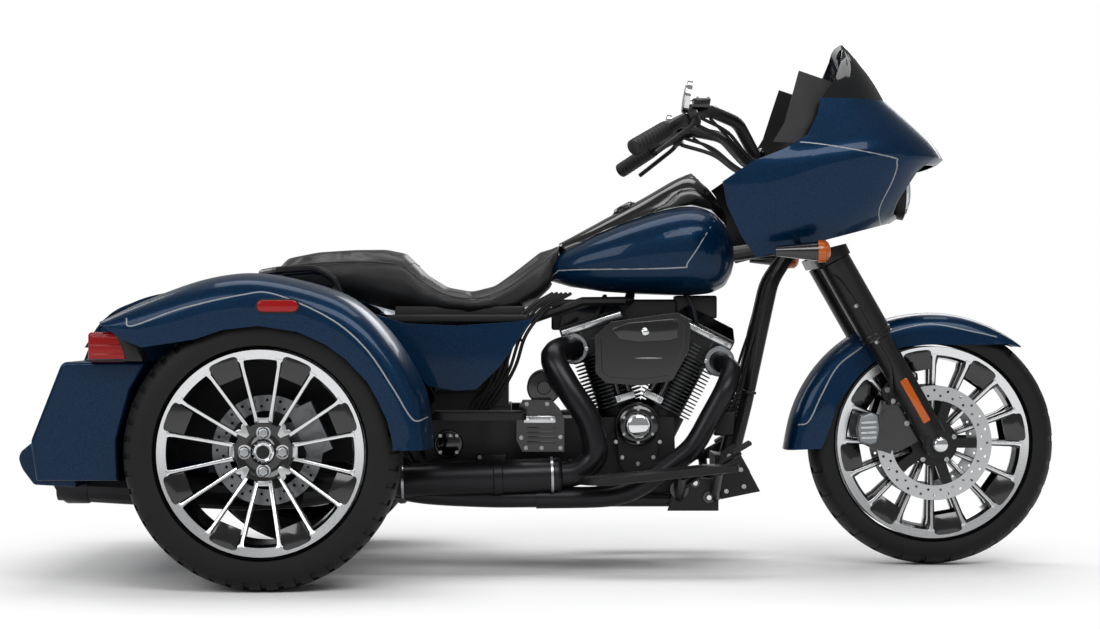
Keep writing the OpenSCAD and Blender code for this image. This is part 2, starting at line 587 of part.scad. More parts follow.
// Columns over the fender: share of the way out from the trunk, share of the way to the opening edge
fender_cols = [[0, 0.16], [0.18, 0.05], [0.42, 0], [0.65, 0], [0.82, 0.05], [0.93, 0.15], [0.985, 0.32], [1, 0.55], [0.995, 0.8], [0.98, 1]];
tip_r = 36;
module rear_fender() {
  color("#0f3a6e") at_rear() panel([for (r = fender_rows) [for (c = fender_cols)
    [mix(r[0], r[2], c[1]), -mix(trunk_y + 0.9, fender_y, c[0]), mix(r[1], r[3], c[1])]]], -panel_t);
}
module rear_fender_right() { rear_fender(); }
module rear_fender_left() { mirror([0, 1, 0]) rear_fender(); }

// Trunk: an open box between the wheels, raised over the axle, its rear face carried out behind them
trunk_side = [[-520, 600], [-520, 440], [-850, 440], [-870, 258], [-1236, 258], [-1250, 350], [-1168, 560], [-1120, 640],
  [-1000, 690], [-720, 700], [-560, 660]];
trunk_inside = [[-570, 600], [-570, 452], [-860, 452], [-882, 268], [-1215, 268], [-1236, 350], [-1152, 560], [-1112, 660], [-1000, 760],
  [-800, 760], [-800, 680], [-600, 640]];
rear_panel = [[-1236, 258], [-1250, 350], [-1176, 538], [-975, 538], [-1014, 472], [-1046, 354], [-1043, 258]];
rear_panel_inside = [[-1226, 266], [-1241, 350], [-1170, 530], [-940, 530], [-940, 266]];
rear_panel_y = 600;
module tip_notch() {
  both_sides() rod([-1020, tip_y, tip_z], [-1300, tip_y, tip_z], 52);
}
hinge_y = 180;
pin_r = 5;
module trunk_body() {
  color("#0f3a6e") at_rear() {
    difference() {
      union() {
        side_plate(trunk_side, -trunk_y, trunk_y);
        side_plate(rear_panel, -rear_panel_y, rear_panel_y);
      }
      side_plate(trunk_inside, trunk_t - trunk_y, trunk_y - trunk_t);
      both_sides() side_plate(rear_panel_inside, trunk_y, rear_panel_y - trunk_t);
      tip_notch();
    }
    both_sides() {
      rod([hinge_x, hinge_y - 24, hinge_z], [hinge_x, hinge_y + 24, hinge_z], pin_r);
      for (y = [hinge_y - 24, hinge_y + 16]) translate([hinge_x - 8, y, 676]) cube([22, 8, hinge_z + 8 - 676]);
    }
  }
}
hinge_x = -790;
hinge_z = 712;
module trunk_lid() {
  color("#0f3a6e") at_rear() {
    side_plate([[-1178, 568], [-1127, 652], [-1002, 703], [hinge_x - 14, 716], [hinge_x - 14, 708], [-1000, 696.5], [-1121, 647], [-1170, 568]],
      trunk_t + lid_gap - trunk_y, trunk_y - trunk_t - lid_gap);
    both_sides() difference() {
      union() {
        rod([hinge_x, hinge_y - 15.5, hinge_z], [hinge_x, hinge_y + 15.5, hinge_z], pin_r + 5);
        translate([hinge_x - 20, hinge_y - 15.5, hinge_z - 4]) cube([20, 31, 8]);
      }
      rod([hinge_x, hinge_y - 20, hinge_z], [hinge_x, hinge_y + 20, hinge_z], pin_r + hub_gap);
    }
  }
}
module bumper() {
  color("#0f3a6e") at_rear() difference() {
    side_plate([[-1250.3, 350], [-1287, 320], [-1283, 290], [-1250, 246], [-1150, 240], [-1150, 257.7], [-1236.3, 257.7]], -560, 560);
    tip_notch();
  }
}
module tail_lamps() {
  color("#8e1010") at_rear() both_sides() translate([-1105, 470, 538.3]) cube([90, 180, 70]);
}
module marker_lamps() {
  color("#8e1010") at_rear() both_sides() translate([-705, fender_y + 0.3, 656]) cube([95, 5, 26]);
}

// Boards for the feet, with the plates that carry them
module footboards() {
  color("#17171a") both_sides() {
    hull() for (c = [[100, 236, 26], [395, 268, 22]]) translate([c[0], 300, c[1]]) cylinder(h = 16, r = 50, center = true, $fn = 32);
    rod([305, 146, 184], [305, 300, 250], 12);
    rod([395, 146, 184], [395, 300, 262], 12);
    side_plate([[275, 150], [405, 150], [405, 230], [300, 240]], 142, 152);
  }
}
module passenger_boards() {
  color("#17171a") both_sides() {
    hull() for (x = [-290, -120]) translate([x, 265, 396]) cylinder(h = 18, r = 36, center = true, $fn = 32);
    rod([-180, 100.3, 396], [-180, 265, 396], 12);
  }
}
module chin_spoiler() {
  color("#1b1b1d") {
    side_plate([[470, 278], [512, 199], [480, 193], [462, 240]], -146, 146);
    side_plate([[400, 290], [470, 278], [480, 193], [400, 196]], -98, 98);
    both_sides() side_plate([[410, 297], [446, 322], [486, 250], [486, 194], [412, 179]], 138.4, 146);
  }
}

// Fairing rows from the bottom edge up: rear edge x z, half width there, nose x z, roundness
fairing_rows = [[487, 791, 300, 859, 888, 0.75], [448, 842, 338, 885, 905, 0.7], [410, 918, 358, 915, 960, 0.66], [399, 977, 362, 948, 1012, 0.64],
  [470, 1026, 360, 988, 1046, 0.64], [555, 1060, 350, 966, 1082, 0.64], [612, 1096, 325, 926, 1126, 0.66], [640, 1150, 298, 890, 1160, 0.68], [649, 1191, 280, 857, 1188, 0.7]];
fairing_n = 18;
function fairing_row(r) = [for (k = [-fairing_n:fairing_n]) let (a = 90 * k / fairing_n, t = pow(cos(a), r[5]))
  [mix(r[0], r[3], t), r[2] * fairing_y / 362 * sign(a) * pow(abs(sin(a)), r[5]), mix(r[1], r[4], t)]];
module fairing_outer() {
  color("#0f3a6e") difference() {
    panel([for (r = fairing_rows) fairing_row(r)], -panel_t);
    side_plate([[840, 905], [880, 1022], [1000, 1034], [1000, 880], [860, 895]], -235, 235);
  }
}
module fairing_inner() {
  color("#141414") {
    panel([for (r = [[530, 1080, 300, 740, 1072], [560, 1130, 288, 752, 1108], [578, 1190, 270, 785, 1150], [600, 1262, 244, 838, 1182]])
      [for (k = [-8:8]) let (a = 11.25 * k, t = pow(cos(a), 0.7)) [mix(r[0], r[3], t), r[2] * sin(a), mix(r[1], r[4], t)]]], -6);
    both_sides() rod([640, 270, 1121], [640, 303.6, 1121], 6);
  }
}
screen_rows = [[652, 1186, 276, 853.9, 1182.6, 0.7], [690, 1240, 240, 815, 1262, 0.8], [712, 1290, 190, 768, 1318, 0.8], [722, 1325, 130, 728, 1353, 0.8]];
module windscreen() {
  color("#26282b") panel([for (r = screen_rows) fairing_row(r)], -4);
}
module headlamp() {
  color("#2a2c30") both_sides() {
    translate([carrier_x + 13.3, 110, 962]) rotate([0, 90, 0]) cylinder(h = 50, r1 = 60, r2 = 70);
  }
}
module gauges() {
  color("#1c1c1e") {
    for (y = [-62, 62]) translate([734.7, y, 1112]) rotate([0, -64, 0]) cylinder(h = 24, r = 50);
    for (y = [-152, 152]) translate([713.4, y, 1112]) rotate([0, -64, 0]) cylinder(h = 20, r = 28);
  }
}
module turn_signals() {
  color("#d2691e") both_sides() {
    translate([530, 345, 806]) rotate([0, 90, 0]) cylinder(h = 124, r1 = 12, r2 = 27);
    rod([592, 306, 824], [592, 345, 812], 8);
  }
}

frame();
rear_axle();
engine_case();
cylinders();
rocker_covers();
air_cleaner();
cam_cover();
gearbox_cover();
primary_cover();
exhaust_headers();
mufflers();
fuel_tank();
tank_console();
seat();
grab_rail();
side_covers();
rear_fender_right();
rear_fender_left();
trunk_body();
trunk_lid();
bumper();
tail_lamps();
marker_lamps();
footboards();
passenger_boards();
chin_spoiler();
fairing_outer();
fairing_inner();
windscreen();
headlamp();
gauges();
turn_signals();
rear_calipers();
fork_yokes();
fork_legs();
front_fender();
handlebar();
hand_controls();
mirrors();
front_calipers();
front_rim();
front_tyre();
front_discs();
rear_rim_right();
rear_tyre_right();
rear_disc_right();
rear_rim_left();
rear_tyre_left();
rear_disc_left();
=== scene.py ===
# %% [markdown]
# # A motorized trike, dressed over its CAD solids
# The real machine is a touring motorcycle with one steered front wheel and two driven rear wheels. Its solids come
# ready made from the CAD frame, in metres: X forward, Y to the rider's left, Z up. This lesson gives each solid the
# finish of the real surface, then models what a solid is too plain for: the padded seat, the fin edges, fasteners,
# lamps, cables, stripes and tyre tread. Every new piece rides on the body that carries it.

# %% Load the frame
import bpy
import bmesh
import json
import math
from mathutils import Matrix, Vector

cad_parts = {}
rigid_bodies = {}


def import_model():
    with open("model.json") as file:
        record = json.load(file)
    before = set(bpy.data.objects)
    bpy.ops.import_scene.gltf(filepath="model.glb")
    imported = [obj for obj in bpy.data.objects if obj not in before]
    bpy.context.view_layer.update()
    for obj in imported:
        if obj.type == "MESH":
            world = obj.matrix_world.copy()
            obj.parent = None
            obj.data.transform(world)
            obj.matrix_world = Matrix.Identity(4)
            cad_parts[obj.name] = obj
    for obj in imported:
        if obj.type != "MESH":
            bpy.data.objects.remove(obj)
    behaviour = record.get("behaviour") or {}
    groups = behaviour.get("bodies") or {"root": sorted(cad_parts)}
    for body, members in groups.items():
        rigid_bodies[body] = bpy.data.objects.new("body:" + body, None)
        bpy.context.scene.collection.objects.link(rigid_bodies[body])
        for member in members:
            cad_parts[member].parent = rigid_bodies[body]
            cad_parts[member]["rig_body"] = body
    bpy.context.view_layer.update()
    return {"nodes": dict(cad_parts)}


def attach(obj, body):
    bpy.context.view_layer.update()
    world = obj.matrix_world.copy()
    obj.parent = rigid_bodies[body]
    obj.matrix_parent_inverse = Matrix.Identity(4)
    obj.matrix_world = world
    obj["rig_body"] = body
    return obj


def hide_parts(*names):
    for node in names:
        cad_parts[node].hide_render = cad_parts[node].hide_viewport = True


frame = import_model()

# %% [markdown]
# ## Small helpers
# Colours are written as the hex values a paint chart would give and turned to linear light in one place. Shader nodes
# are added with their inputs, each one a value or a link, and short functions cover arithmetic, ranges and mixing. Two
# more keep modelling tidy: one deselects everything before an operator runs, because the loaded solids stay selected,
# and one finishes a piece by setting its place into its mesh.

# %% Colour and nodes
def linear(code):
    parts = [int(code[i:i + 2], 16) / 255 for i in (1, 3, 5)]
    return [c / 12.92 if c <= 0.04045 else ((c + 0.055) / 1.055) ** 2.4 for c in parts] + [1.0]


def node(tree, kind, inputs=None, **settings):
    made = tree.nodes.new(kind)
    for key, value in settings.items():
        setattr(made, key, value)
    for key, value in (inputs or {}).items():
        if isinstance(value, bpy.types.NodeSocket):
            tree.links.new(value, made.inputs[key])
        else:
            made.inputs[key].default_value = value
    return made


def maths(tree, operation, *values):
    return node(tree, "ShaderNodeMath", dict(enumerate(values)), operation=operation).outputs[0]


def vectors(tree, operation, *values):
    made = node(tree, "ShaderNodeVectorMath", dict(enumerate(values)), operation=operation)
    return made.outputs["Value" if operation in ("LENGTH", "DOT_PRODUCT") else "Vector"]


def ranged(tree, value, low, high, to_low=0.0, to_high=1.0, **settings):
    ends = {"Value": value, "From Min": low, "From Max": high, "To Min": to_low, "To Max": to_high}
    return node(tree, "ShaderNodeMapRange", ends, **settings).outputs["Result"]


def mixed(tree, factor, first, second):
    return node(tree, "ShaderNodeMix", {0: factor, 6: first, 7: second}, data_type="RGBA").outputs[2]


def blend(tree, factor, first, second):
    return node(tree, "ShaderNodeMix", {0: factor, 2: first, 3: second}).outputs[0]


def feed(tree, shader, **sources):
    for key, source in sources.items():
        tree.links.new(source, shader.inputs[key.replace("_", " ")])


# %% The start and end of every piece
def deselect():
    if bpy.context.mode != "OBJECT":
        bpy.ops.object.mode_set(mode="OBJECT")
    bpy.ops.object.select_all(action="DESELECT")


def only(piece):
    deselect()
    piece.select_set(True)
    bpy.context.view_layer.objects.active = piece
    return piece


def edit_all(piece):
    only(piece)
    bpy.ops.object.mode_set(mode="EDIT")
    bpy.ops.mesh.select_all(action="SELECT")


def apply_all(piece):
    only(piece)
    for modifier in list(piece.modifiers):
        bpy.ops.object.modifier_apply(modifier=modifier.name)
    return piece


def set_place(piece):
    only(piece)
    bpy.ops.object.transform_apply(location=True, rotation=True, scale=True)
    return piece


def finished(piece, name, body, material, smooth=40):
    apply_all(set_place(piece))
    piece.name = piece.data.name = name
    piece.data.materials.clear()
    piece.data.materials.append(material)
    for face in piece.data.polygons:
        face.material_index = 0
    if smooth:
        bpy.ops.object.shade_smooth_by_angle(angle=math.radians(smooth))
    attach(piece, body)
    return piece


def joined(parts):
    deselect()
    for part in parts:
        part.select_set(True)
    bpy.context.view_layer.objects.active = parts[0]
    if len(parts) > 1:
        bpy.ops.object.join()
    return bpy.context.view_layer.objects.active


# %% [markdown]
# ## The base of every finish
# Real finishes are never one flat value. Each one here starts from a Principled shader with two noises read in Object
# coordinates, in metres: a fine one that gives the grain of the surface as bump, and a broad one that varies the gloss
# as handling and dust do. Scales come from real sizes, so 1000 / millimetres is the noise scale.

# %% One starting point for all finishes
CLOUD_MM, SHADE = 140, 0.78
CLOUD_LOW, CLOUD_HIGH, GRAIN_STRENGTH = 0.3, 0.7, 0.6


def finish(name, colour, metallic, roughness, grain_mm, bump_mm, spread=0.06, **sockets):
    material = bpy.data.materials.new(name)
    material.use_nodes = True
    tree = material.node_tree
    tree.nodes.clear()
    place = node(tree, "ShaderNodeTexCoord").outputs["Object"]
    grain, cloud = (node(tree, "ShaderNodeTexNoise", {"Scale": 1000 / size, "Detail": detail, "Vector": place})
                    .outputs["Fac"] for size, detail in ((grain_mm, 3.0), (CLOUD_MM, 2.0)))
    gloss = ranged(tree, cloud, CLOUD_LOW, CLOUD_HIGH, max(roughness - spread, 0.01), roughness + spread)
    bump = node(tree, "ShaderNodeBump", {"Strength": GRAIN_STRENGTH, "Distance": bump_mm / 1000, "Height": grain})
    light = linear(colour)
    tone = mixed(tree, cloud, light, [c * SHADE for c in light[:3]] + [1.0])
    shader = node(tree, "ShaderNodeBsdfPrincipled", {
        "Metallic": metallic, "Base Color": tone, "Roughness": gloss, "Normal": bump.outputs["Normal"],
        **{key.replace("_", " "): value for key, value in sockets.items()}})
    node(tree, "ShaderNodeOutputMaterial", {"Surface": shader.outputs["BSDF"]})
    return material


def inner(material):
    tree = material.node_tree
    place = next(n for n in tree.nodes if n.type == "TEX_COORD").outputs["Object"]
    shader = next(n for n in tree.nodes if n.type == "BSDF_PRINCIPLED")
    return (tree, place, shader,
            *(shader.inputs[key].links[0].from_socket for key in ("Base Color", "Roughness", "Normal")))


# %% [markdown]
# ## Paint, powder coat and cast metal
# The blue is a metallic base under clear lacquer: tiny aluminium flakes seen through a smooth coat. The flakes are
# drawn about 1.5 mm across, coarser than real ones, so that they show. Black parts are powder coated, which leaves an
# orange-peel skin, or cast and painted, which leaves a grain.

# %% Painted and coated finishes
FLAKE_MM = 1.5
blue_paint = finish("metallic_blue_lacquer", "#001c37", 0.45, 0.36, 9, 0.02, 0.03,
                    Coat_Weight=0.3, Coat_Roughness=0.04, Specular_IOR_Level=0.08)
tree, place, shader, tone, gloss, normal = inner(blue_paint)
flake = node(tree, "ShaderNodeTexVoronoi", {"Scale": 1000 / FLAKE_MM, "Vector": place}).outputs["Color"]
feed(tree, shader, Base_Color=mixed(tree, ranged(tree, flake, 0.25, 0.75, 0.0, 0.5), tone, linear("#053759")))

satin_black = finish("satin_black_powder_coat", "#111113", 0.0, 0.36, 2.5, 0.03, Specular_IOR_Level=0.35)
gloss_black = finish("gloss_black_enamel", "#060607", 0.0, 0.16, 7, 0.02, 0.04, Coat_Weight=0.6, Coat_Roughness=0.08)
cast_black = finish("wrinkle_black_casting", "#0c0c0d", 0.0, 0.46, 1.2, 0.12, Specular_IOR_Level=0.35)
moulded_black = finish("grained_abs_plastic", "#0d0d0e", 0.0, 0.52, 1.4, 0.10, Specular_IOR_Level=0.35)
cast_grey = finish("cast_aluminium", "#8f9295", 0.9, 0.42, 1.6, 0.08)
chrome = finish("polished_chrome", "#e6e8ea", 1.0, 0.07, 20, 0.004, 0.03)
machined = finish("turned_aluminium", "#d2d4d6", 1.0, 0.26, 1.0, 0.015)
heat_black = finish("ceramic_black_exhaust_coat", "#1d1d20", 0.6, 0.33, 2.0, 0.04)
rubber = finish("black_rubber", "#101010", 0.0, 0.72, 1.6, 0.10)
zinc = finish("zinc_plated_steel", "#b9bcbf", 1.0, 0.28, 1.2, 0.01)
stripe_grey = finish("grey_pinstripe_enamel", "#8b8e92", 0.1, 0.30, 6, 0.005)
print("finishes", len(bpy.data.materials))

# %% [markdown]
# ## Finishes that follow the shape
# A machined wheel is painted black, then its front faces are turned bright on a lathe. The shader finds those faces by
# their normal: where it points along the axle the metal is bright, and elsewhere the paint is left. Brake rotors are
# ground bright the same way, beyond their carriers. The fins of the cylinders show a cut edge, found by the distance
# from the cylinder's axis, which is worked out from the vee's angle.

# %% Faces turned bright by their normal, beyond a radius
PAINTED_TO, BRIGHT_FROM = 0.72, 0.80
LATHE_SCALE, LATHE_SMOOTH, LATHE_ROUGH = 900.0, 0.20, 0.34


def bright_faces(name, base, centre, rim, outward=None, shine="#dfe1e3"):
    material = base.copy()
    material.name = name
    tree, place, shader, tone, gloss, normal = inner(material)
    geometry = node(tree, "ShaderNodeNewGeometry").outputs["Normal"]
    sideways = node(tree, "ShaderNodeSeparateXYZ", {0: geometry}).outputs["Y"]
    facing = maths(tree, "MULTIPLY", sideways, outward) if outward else maths(tree, "ABSOLUTE", sideways)
    away = vectors(tree, "MULTIPLY", vectors(tree, "SUBTRACT", place, centre), (1, 0, 1))
    beyond = maths(tree, "GREATER_THAN", vectors(tree, "LENGTH", away), rim)
    mask = maths(tree, "MULTIPLY", beyond, ranged(tree, facing, PAINTED_TO, BRIGHT_FROM))
    lathe = node(tree, "ShaderNodeTexNoise", {"Scale": LATHE_SCALE, "Detail": 1.0, "Vector": away}).outputs["Fac"]
    feed(tree, shader, Base_Color=mixed(tree, mask, tone, linear(shine)), Metallic=mask,
         Roughness=blend(tree, mask, gloss, ranged(tree, lathe, 0.0, 1.0, LATHE_SMOOTH, LATHE_ROUGH)))
    return material


REAR_AXLE, FRONT_AXLE = Vector((-0.702, 0.0, 0.32535)), Vector((0.968, 0.0, 0.3193))
REAR_MID = 0.5575
rear_wheel_right = bright_faces("turned_wheel_right", gloss_black, REAR_AXLE, 0.2205, -1.0)
rear_wheel_left = bright_faces("turned_wheel_left", gloss_black, REAR_AXLE, 0.2205, 1.0)
front_wheel = bright_faces("turned_wheel_front", gloss_black, FRONT_AXLE, 0.2265)
rear_spokes = bright_faces("turned_spokes_rear", gloss_black, REAR_AXLE, 0.0)
front_spokes = bright_faces("turned_spokes_front", gloss_black, FRONT_AXLE, 0.0)
rear_rotor = bright_faces("ground_brake_steel_rear", satin_black, REAR_AXLE, 0.094, shine="#77797b")
front_rotor = bright_faces("ground_brake_steel_front", satin_black, FRONT_AXLE, 0.110, shine="#c4c6c8")
print("wheels turned bright")

# %% Fin edges left bright
CRANK, LEAN, HALF_VEE = Vector((0.200, 0.0, 0.266)), 4.5, 22.5
FIN_FROM, FIN_TO = 0.0732, 0.0748
fin_metal = satin_black.copy()
fin_metal.name = "black_fins_with_cut_edges"
tree, place, shader, tone, gloss, normal = inner(fin_metal)
reaches = []
for side in (-1, 1):
    straight = node(tree, "ShaderNodeMapping", {"Rotation": (0, -math.radians(LEAN + side * HALF_VEE), 0),
                                                "Vector": vectors(tree, "SUBTRACT", place, CRANK)},
                    vector_type="POINT").outputs[0]
    reaches.append(vectors(tree, "LENGTH", vectors(tree, "MULTIPLY", straight, (1, 1, 0))))
nearest = maths(tree, "MINIMUM", *reaches)
edge = maths(tree, "MULTIPLY", maths(tree, "GREATER_THAN", nearest, FIN_FROM),
             maths(tree, "LESS_THAN", nearest, FIN_TO))
feed(tree, shader, Base_Color=mixed(tree, edge, tone, linear("#4c4e50")), Metallic=edge)

# %% [markdown]
# ## Tyre rubber
# Road tyres are matt on the tread and slightly shinier on the wall. The tread's rain grooves are cut as bump: three
# straight ones round the tyre and slanted ones across it, set out by the angle about the axle, with the depth worked
# from the distance to the axle so that only the crown is cut. The grooves are also painted darker, as painted shade.

# %% Tread and side wall
SLANT, GROOVE_SHARE, RING_HALF, GROOVE_DEPTH = 16.0, 0.14, 0.0035, 0.004
BAND_FROM, BAND_TO = 0.3, 0.92


def tyre_rubber(name, centre, crown, half_width, blocks, rings):
    material = finish(name, "#090909", 0.0, 0.60, 3.0, 0.05, 0.05, Specular_IOR_Level=0.3)
    tree, place, shader, tone, gloss, normal = inner(material)
    local = vectors(tree, "SUBTRACT", place, centre)
    axes = node(tree, "ShaderNodeSeparateXYZ", {0: local}).outputs
    turn = maths(tree, "ARCTAN2", axes["X"], axes["Z"])
    reach = vectors(tree, "LENGTH", vectors(tree, "MULTIPLY", local, (1, 0, 1)))
    across = maths(tree, "ABSOLUTE", axes["Y"])
    wave = maths(tree, "ADD", maths(tree, "MULTIPLY", turn, blocks / (2 * math.pi)),
                 maths(tree, "MULTIPLY", across, SLANT))
    cut = maths(tree, "LESS_THAN", maths(tree, "FRACT", wave), GROOVE_SHARE)
    band = maths(tree, "MULTIPLY", maths(tree, "LESS_THAN", across, half_width * BAND_TO),
                 maths(tree, "GREATER_THAN", across, half_width * BAND_FROM))
    grooves = maths(tree, "MULTIPLY", cut, band)
    for ring in rings:
        grooves = maths(tree, "MAXIMUM", grooves, maths(tree, "COMPARE", across, ring, RING_HALF))
    depth = maths(tree, "MULTIPLY", grooves, maths(tree, "GREATER_THAN", reach, crown))
    sink = node(tree, "ShaderNodeBump", {"Strength": 1.0, "Distance": GROOVE_DEPTH, "Height": depth,
                                         "Normal": normal}, invert=True)
    # The grooves are also painted darker than the tread: painted shade in the cuts, the rubber itself is the same.
    feed(tree, shader, Normal=sink.outputs["Normal"], Base_Color=mixed(tree, depth, tone, linear("#050506")))
    return material


front_rubber = tyre_rubber("front_tyre_rubber", FRONT_AXLE, 0.290, 0.062, 44, [0.0, 0.024])
rear_right_rubber, rear_left_rubber = (
    tyre_rubber(f"rear_tyre_rubber_{hand}", REAR_AXLE + Vector((0, y, 0)), 0.300, 0.106, 60, [0.016, 0.05])
    for y, hand in ((-0.588, "right"), (0.588, "left")))

# %% [markdown]
# ## Leather, smoked screen and lamp lenses
# The seat is vinyl leather: soft gloss over a pebbled grain about 2 mm across with a few long creases. The screen is
# dark tinted acrylic, thin and clean, and the lamps are coloured acrylic over a bright reflector.

# %% Soft and clear finishes
PEBBLE_MM, CREASE_MM = 2.2, 45
leather = finish("black_seat_leather", "#19191a", 0.0, 0.43, PEBBLE_MM, 0.0, 0.05, Specular_IOR_Level=0.42)
tree, place, shader, tone, gloss, normal = inner(leather)
pebble = node(tree, "ShaderNodeTexVoronoi", {"Scale": 1000 / PEBBLE_MM, "Randomness": 0.9, "Vector": place},
              feature="SMOOTH_F1")
crease = node(tree, "ShaderNodeTexNoise", {"Scale": 1000 / CREASE_MM, "Detail": 4.0, "Distortion": 0.6,
                                           "Vector": place})
hide = node(tree, "ShaderNodeBump", {"Strength": 0.5, "Distance": 0.0005, "Height": pebble.outputs["Distance"]},
            invert=True)
fold = node(tree, "ShaderNodeBump", {"Strength": 0.3, "Distance": 0.002, "Height": crease.outputs["Fac"],
                                     "Normal": hide.outputs["Normal"]})
feed(tree, shader, Normal=fold.outputs["Normal"])

smoked = finish("smoked_acrylic", "#1c1e22", 0.0, 0.05, 30, 0.004, 0.02, Transmission_Weight=0.7, IOR=1.49)
red_lens = finish("red_acrylic_lens", "#a30308", 0.0, 0.14, 6, 0.05, 0.03, Transmission_Weight=0.2, IOR=1.49,
                  Coat_Weight=0.2, Specular_IOR_Level=0.3)
amber_lens = finish("amber_acrylic_lens", "#d8650c", 0.0, 0.14, 4, 0.05, 0.03, Transmission_Weight=0.3, IOR=1.49)
clear_lens = finish("clear_polycarbonate", "#e9edf0", 0.0, 0.04, 30, 0.004, 0.02, Transmission_Weight=0.95,
                    IOR=1.58)
print("finishes", len(bpy.data.materials))

# %% [markdown]
# ## Camera, floor and light
# The photograph is a long-lens side view from about six metres at wheel height, on a white sweep. The camera is level,
# and a small shift places the machine in the frame as it is there. The floor and the backdrop are white to the camera
# and in reflections, and plain to the light, so the floor keeps the shadow.

# %% Camera
EYE = Vector((-0.050, -6.0, 0.640))
bpy.ops.object.camera_add(location=EYE, rotation=(math.radians(90), 0, 0))
camera = bpy.context.object
camera.data.lens, camera.data.sensor_width = 75.1, 36.0
camera.data.shift_x, camera.data.shift_y = 0.0091, 0.0037
camera.data.dof.use_dof = False
bpy.context.scene.camera = camera

# %% Floor, world and lamps
FLOOR_SPAN, SWEEP_FROM, SWEEP_TO = 60, 0.9, 2.2
AIM_HEIGHT = 0.5
white_floor = bpy.data.materials.new("white_sweep_paint")
white_floor.use_nodes = True
tree = white_floor.node_tree
tree.nodes.clear()
paint = node(tree, "ShaderNodeBsdfDiffuse", {"Color": (0.92, 0.92, 0.92, 1)})
glow = node(tree, "ShaderNodeEmission", {"Color": (1, 1, 1, 1), "Strength": 1.0})
away = vectors(tree, "LENGTH", node(tree, "ShaderNodeTexCoord").outputs["Object"])
sweep = ranged(tree, away, SWEEP_FROM, SWEEP_TO, interpolation_type="SMOOTHSTEP")
ray = node(tree, "ShaderNodeLightPath").outputs
seen = maths(tree, "MAXIMUM", maths(tree, "MAXIMUM", ray["Is Camera Ray"], ray["Is Glossy Ray"]),
             ray["Is Transmission Ray"])
sweep_mix = node(tree, "ShaderNodeMixShader", {0: maths(tree, "MULTIPLY", seen, sweep), 1: paint.outputs[0],
                                               2: glow.outputs[0]})
node(tree, "ShaderNodeOutputMaterial", {"Surface": sweep_mix.outputs[0]})
bpy.ops.mesh.primitive_plane_add(size=FLOOR_SPAN, location=(0, 0, -0.0005))
floor = bpy.context.object
floor.name = "floor"
floor.data.materials.append(white_floor)

world = bpy.data.worlds.new("studio")
bpy.context.scene.world = world
world.use_nodes = True
tree = world.node_tree
tree.nodes.clear()
ray = node(tree, "ShaderNodeLightPath").outputs
seen = maths(tree, "MAXIMUM", ray["Is Camera Ray"], ray["Is Transmission Ray"])
soft, plain = (node(tree, "ShaderNodeBackground", {"Color": (1, 1, 1, 1), "Strength": strength}).outputs[0]
               for strength in (0.30, 1.0))
both = node(tree, "ShaderNodeMixShader", {0: seen, 1: soft, 2: plain})
node(tree, "ShaderNodeOutputWorld", {"Surface": both.outputs[0]})

for name, place, size, power in (
        ("key", (1.2, -3.6, 3.4), (3.2, 1.6), 95), ("fill", (-2.6, -3.4, 2.2), (2.4, 1.6), 45),
        ("top", (0, 0.4, 4.2), (4.0, 2.0), 90), ("rear", (-3.4, 2.6, 2.4), (2.0, 2.0), 40),
        ("left", (1.6, 3.8, 2.6), (3.0, 1.6), 60)):
    bpy.ops.object.light_add(type="AREA", location=place)
    lamp = bpy.context.object
    lamp.name = name
    lamp.data.shape, lamp.data.size, lamp.data.size_y, lamp.data.energy = "RECTANGLE", size[0], size[1], power
    lamp.rotation_euler = (Vector((0, 0, AIM_HEIGHT)) - Vector(place)).to_track_quat("-Z", "Y").to_euler()
bpy.context.scene.view_settings.view_transform = "Standard"
print("camera and five soft lamps set")

# %% [markdown]
# ## Painted outside, black inside
# Fenders and fairing are painted only on the outside; inside they are black against stone chips and glare. A face whose
# normal points back at the middle of the shell is an inside face, so the shader tells them apart by a dot product.

# %% Shell paints
def lined_shell(name, centre):
    material = blue_paint.copy()
    material.name = name
    tree, place, shader, painted, gloss, normal = inner(material)
    outward = vectors(tree, "SUBTRACT", place, centre)
    facing = vectors(tree, "DOT_PRODUCT", node(tree, "ShaderNodeNewGeometry").outputs["Normal"], outward)
    inside = maths(tree, "LESS_THAN", facing, 0.0)
    metal, lacquer = (shader.inputs[key].default_value for key in ("Metallic", "Coat Weight"))
    feed(tree, shader, Base_Color=mixed(tree, inside, painted, linear("#0a0a0b")),
         Metallic=blend(tree, inside, metal, 0.0), Coat_Weight=blend(tree, inside, lacquer, 0.0))
    return material


fairing_paint = lined_shell("lacquer_on_fairing", (0.500, 0.0, 1.020))
front_fender_paint = lined_shell("lacquer_on_front_fender", FRONT_AXLE)
right_fender_paint = lined_shell("lacquer_on_right_fender", REAR_AXLE - Vector((0, REAR_MID, 0)))
left_fender_paint = lined_shell("lacquer_on_left_fender", REAR_AXLE + Vector((0, REAR_MID, 0)))
print("shell paints made")

# %% [markdown]
# ## Dress the solids
# Each solid gets the finish its real surface has. What a piece below replaces is hidden, and still keeps its finish.

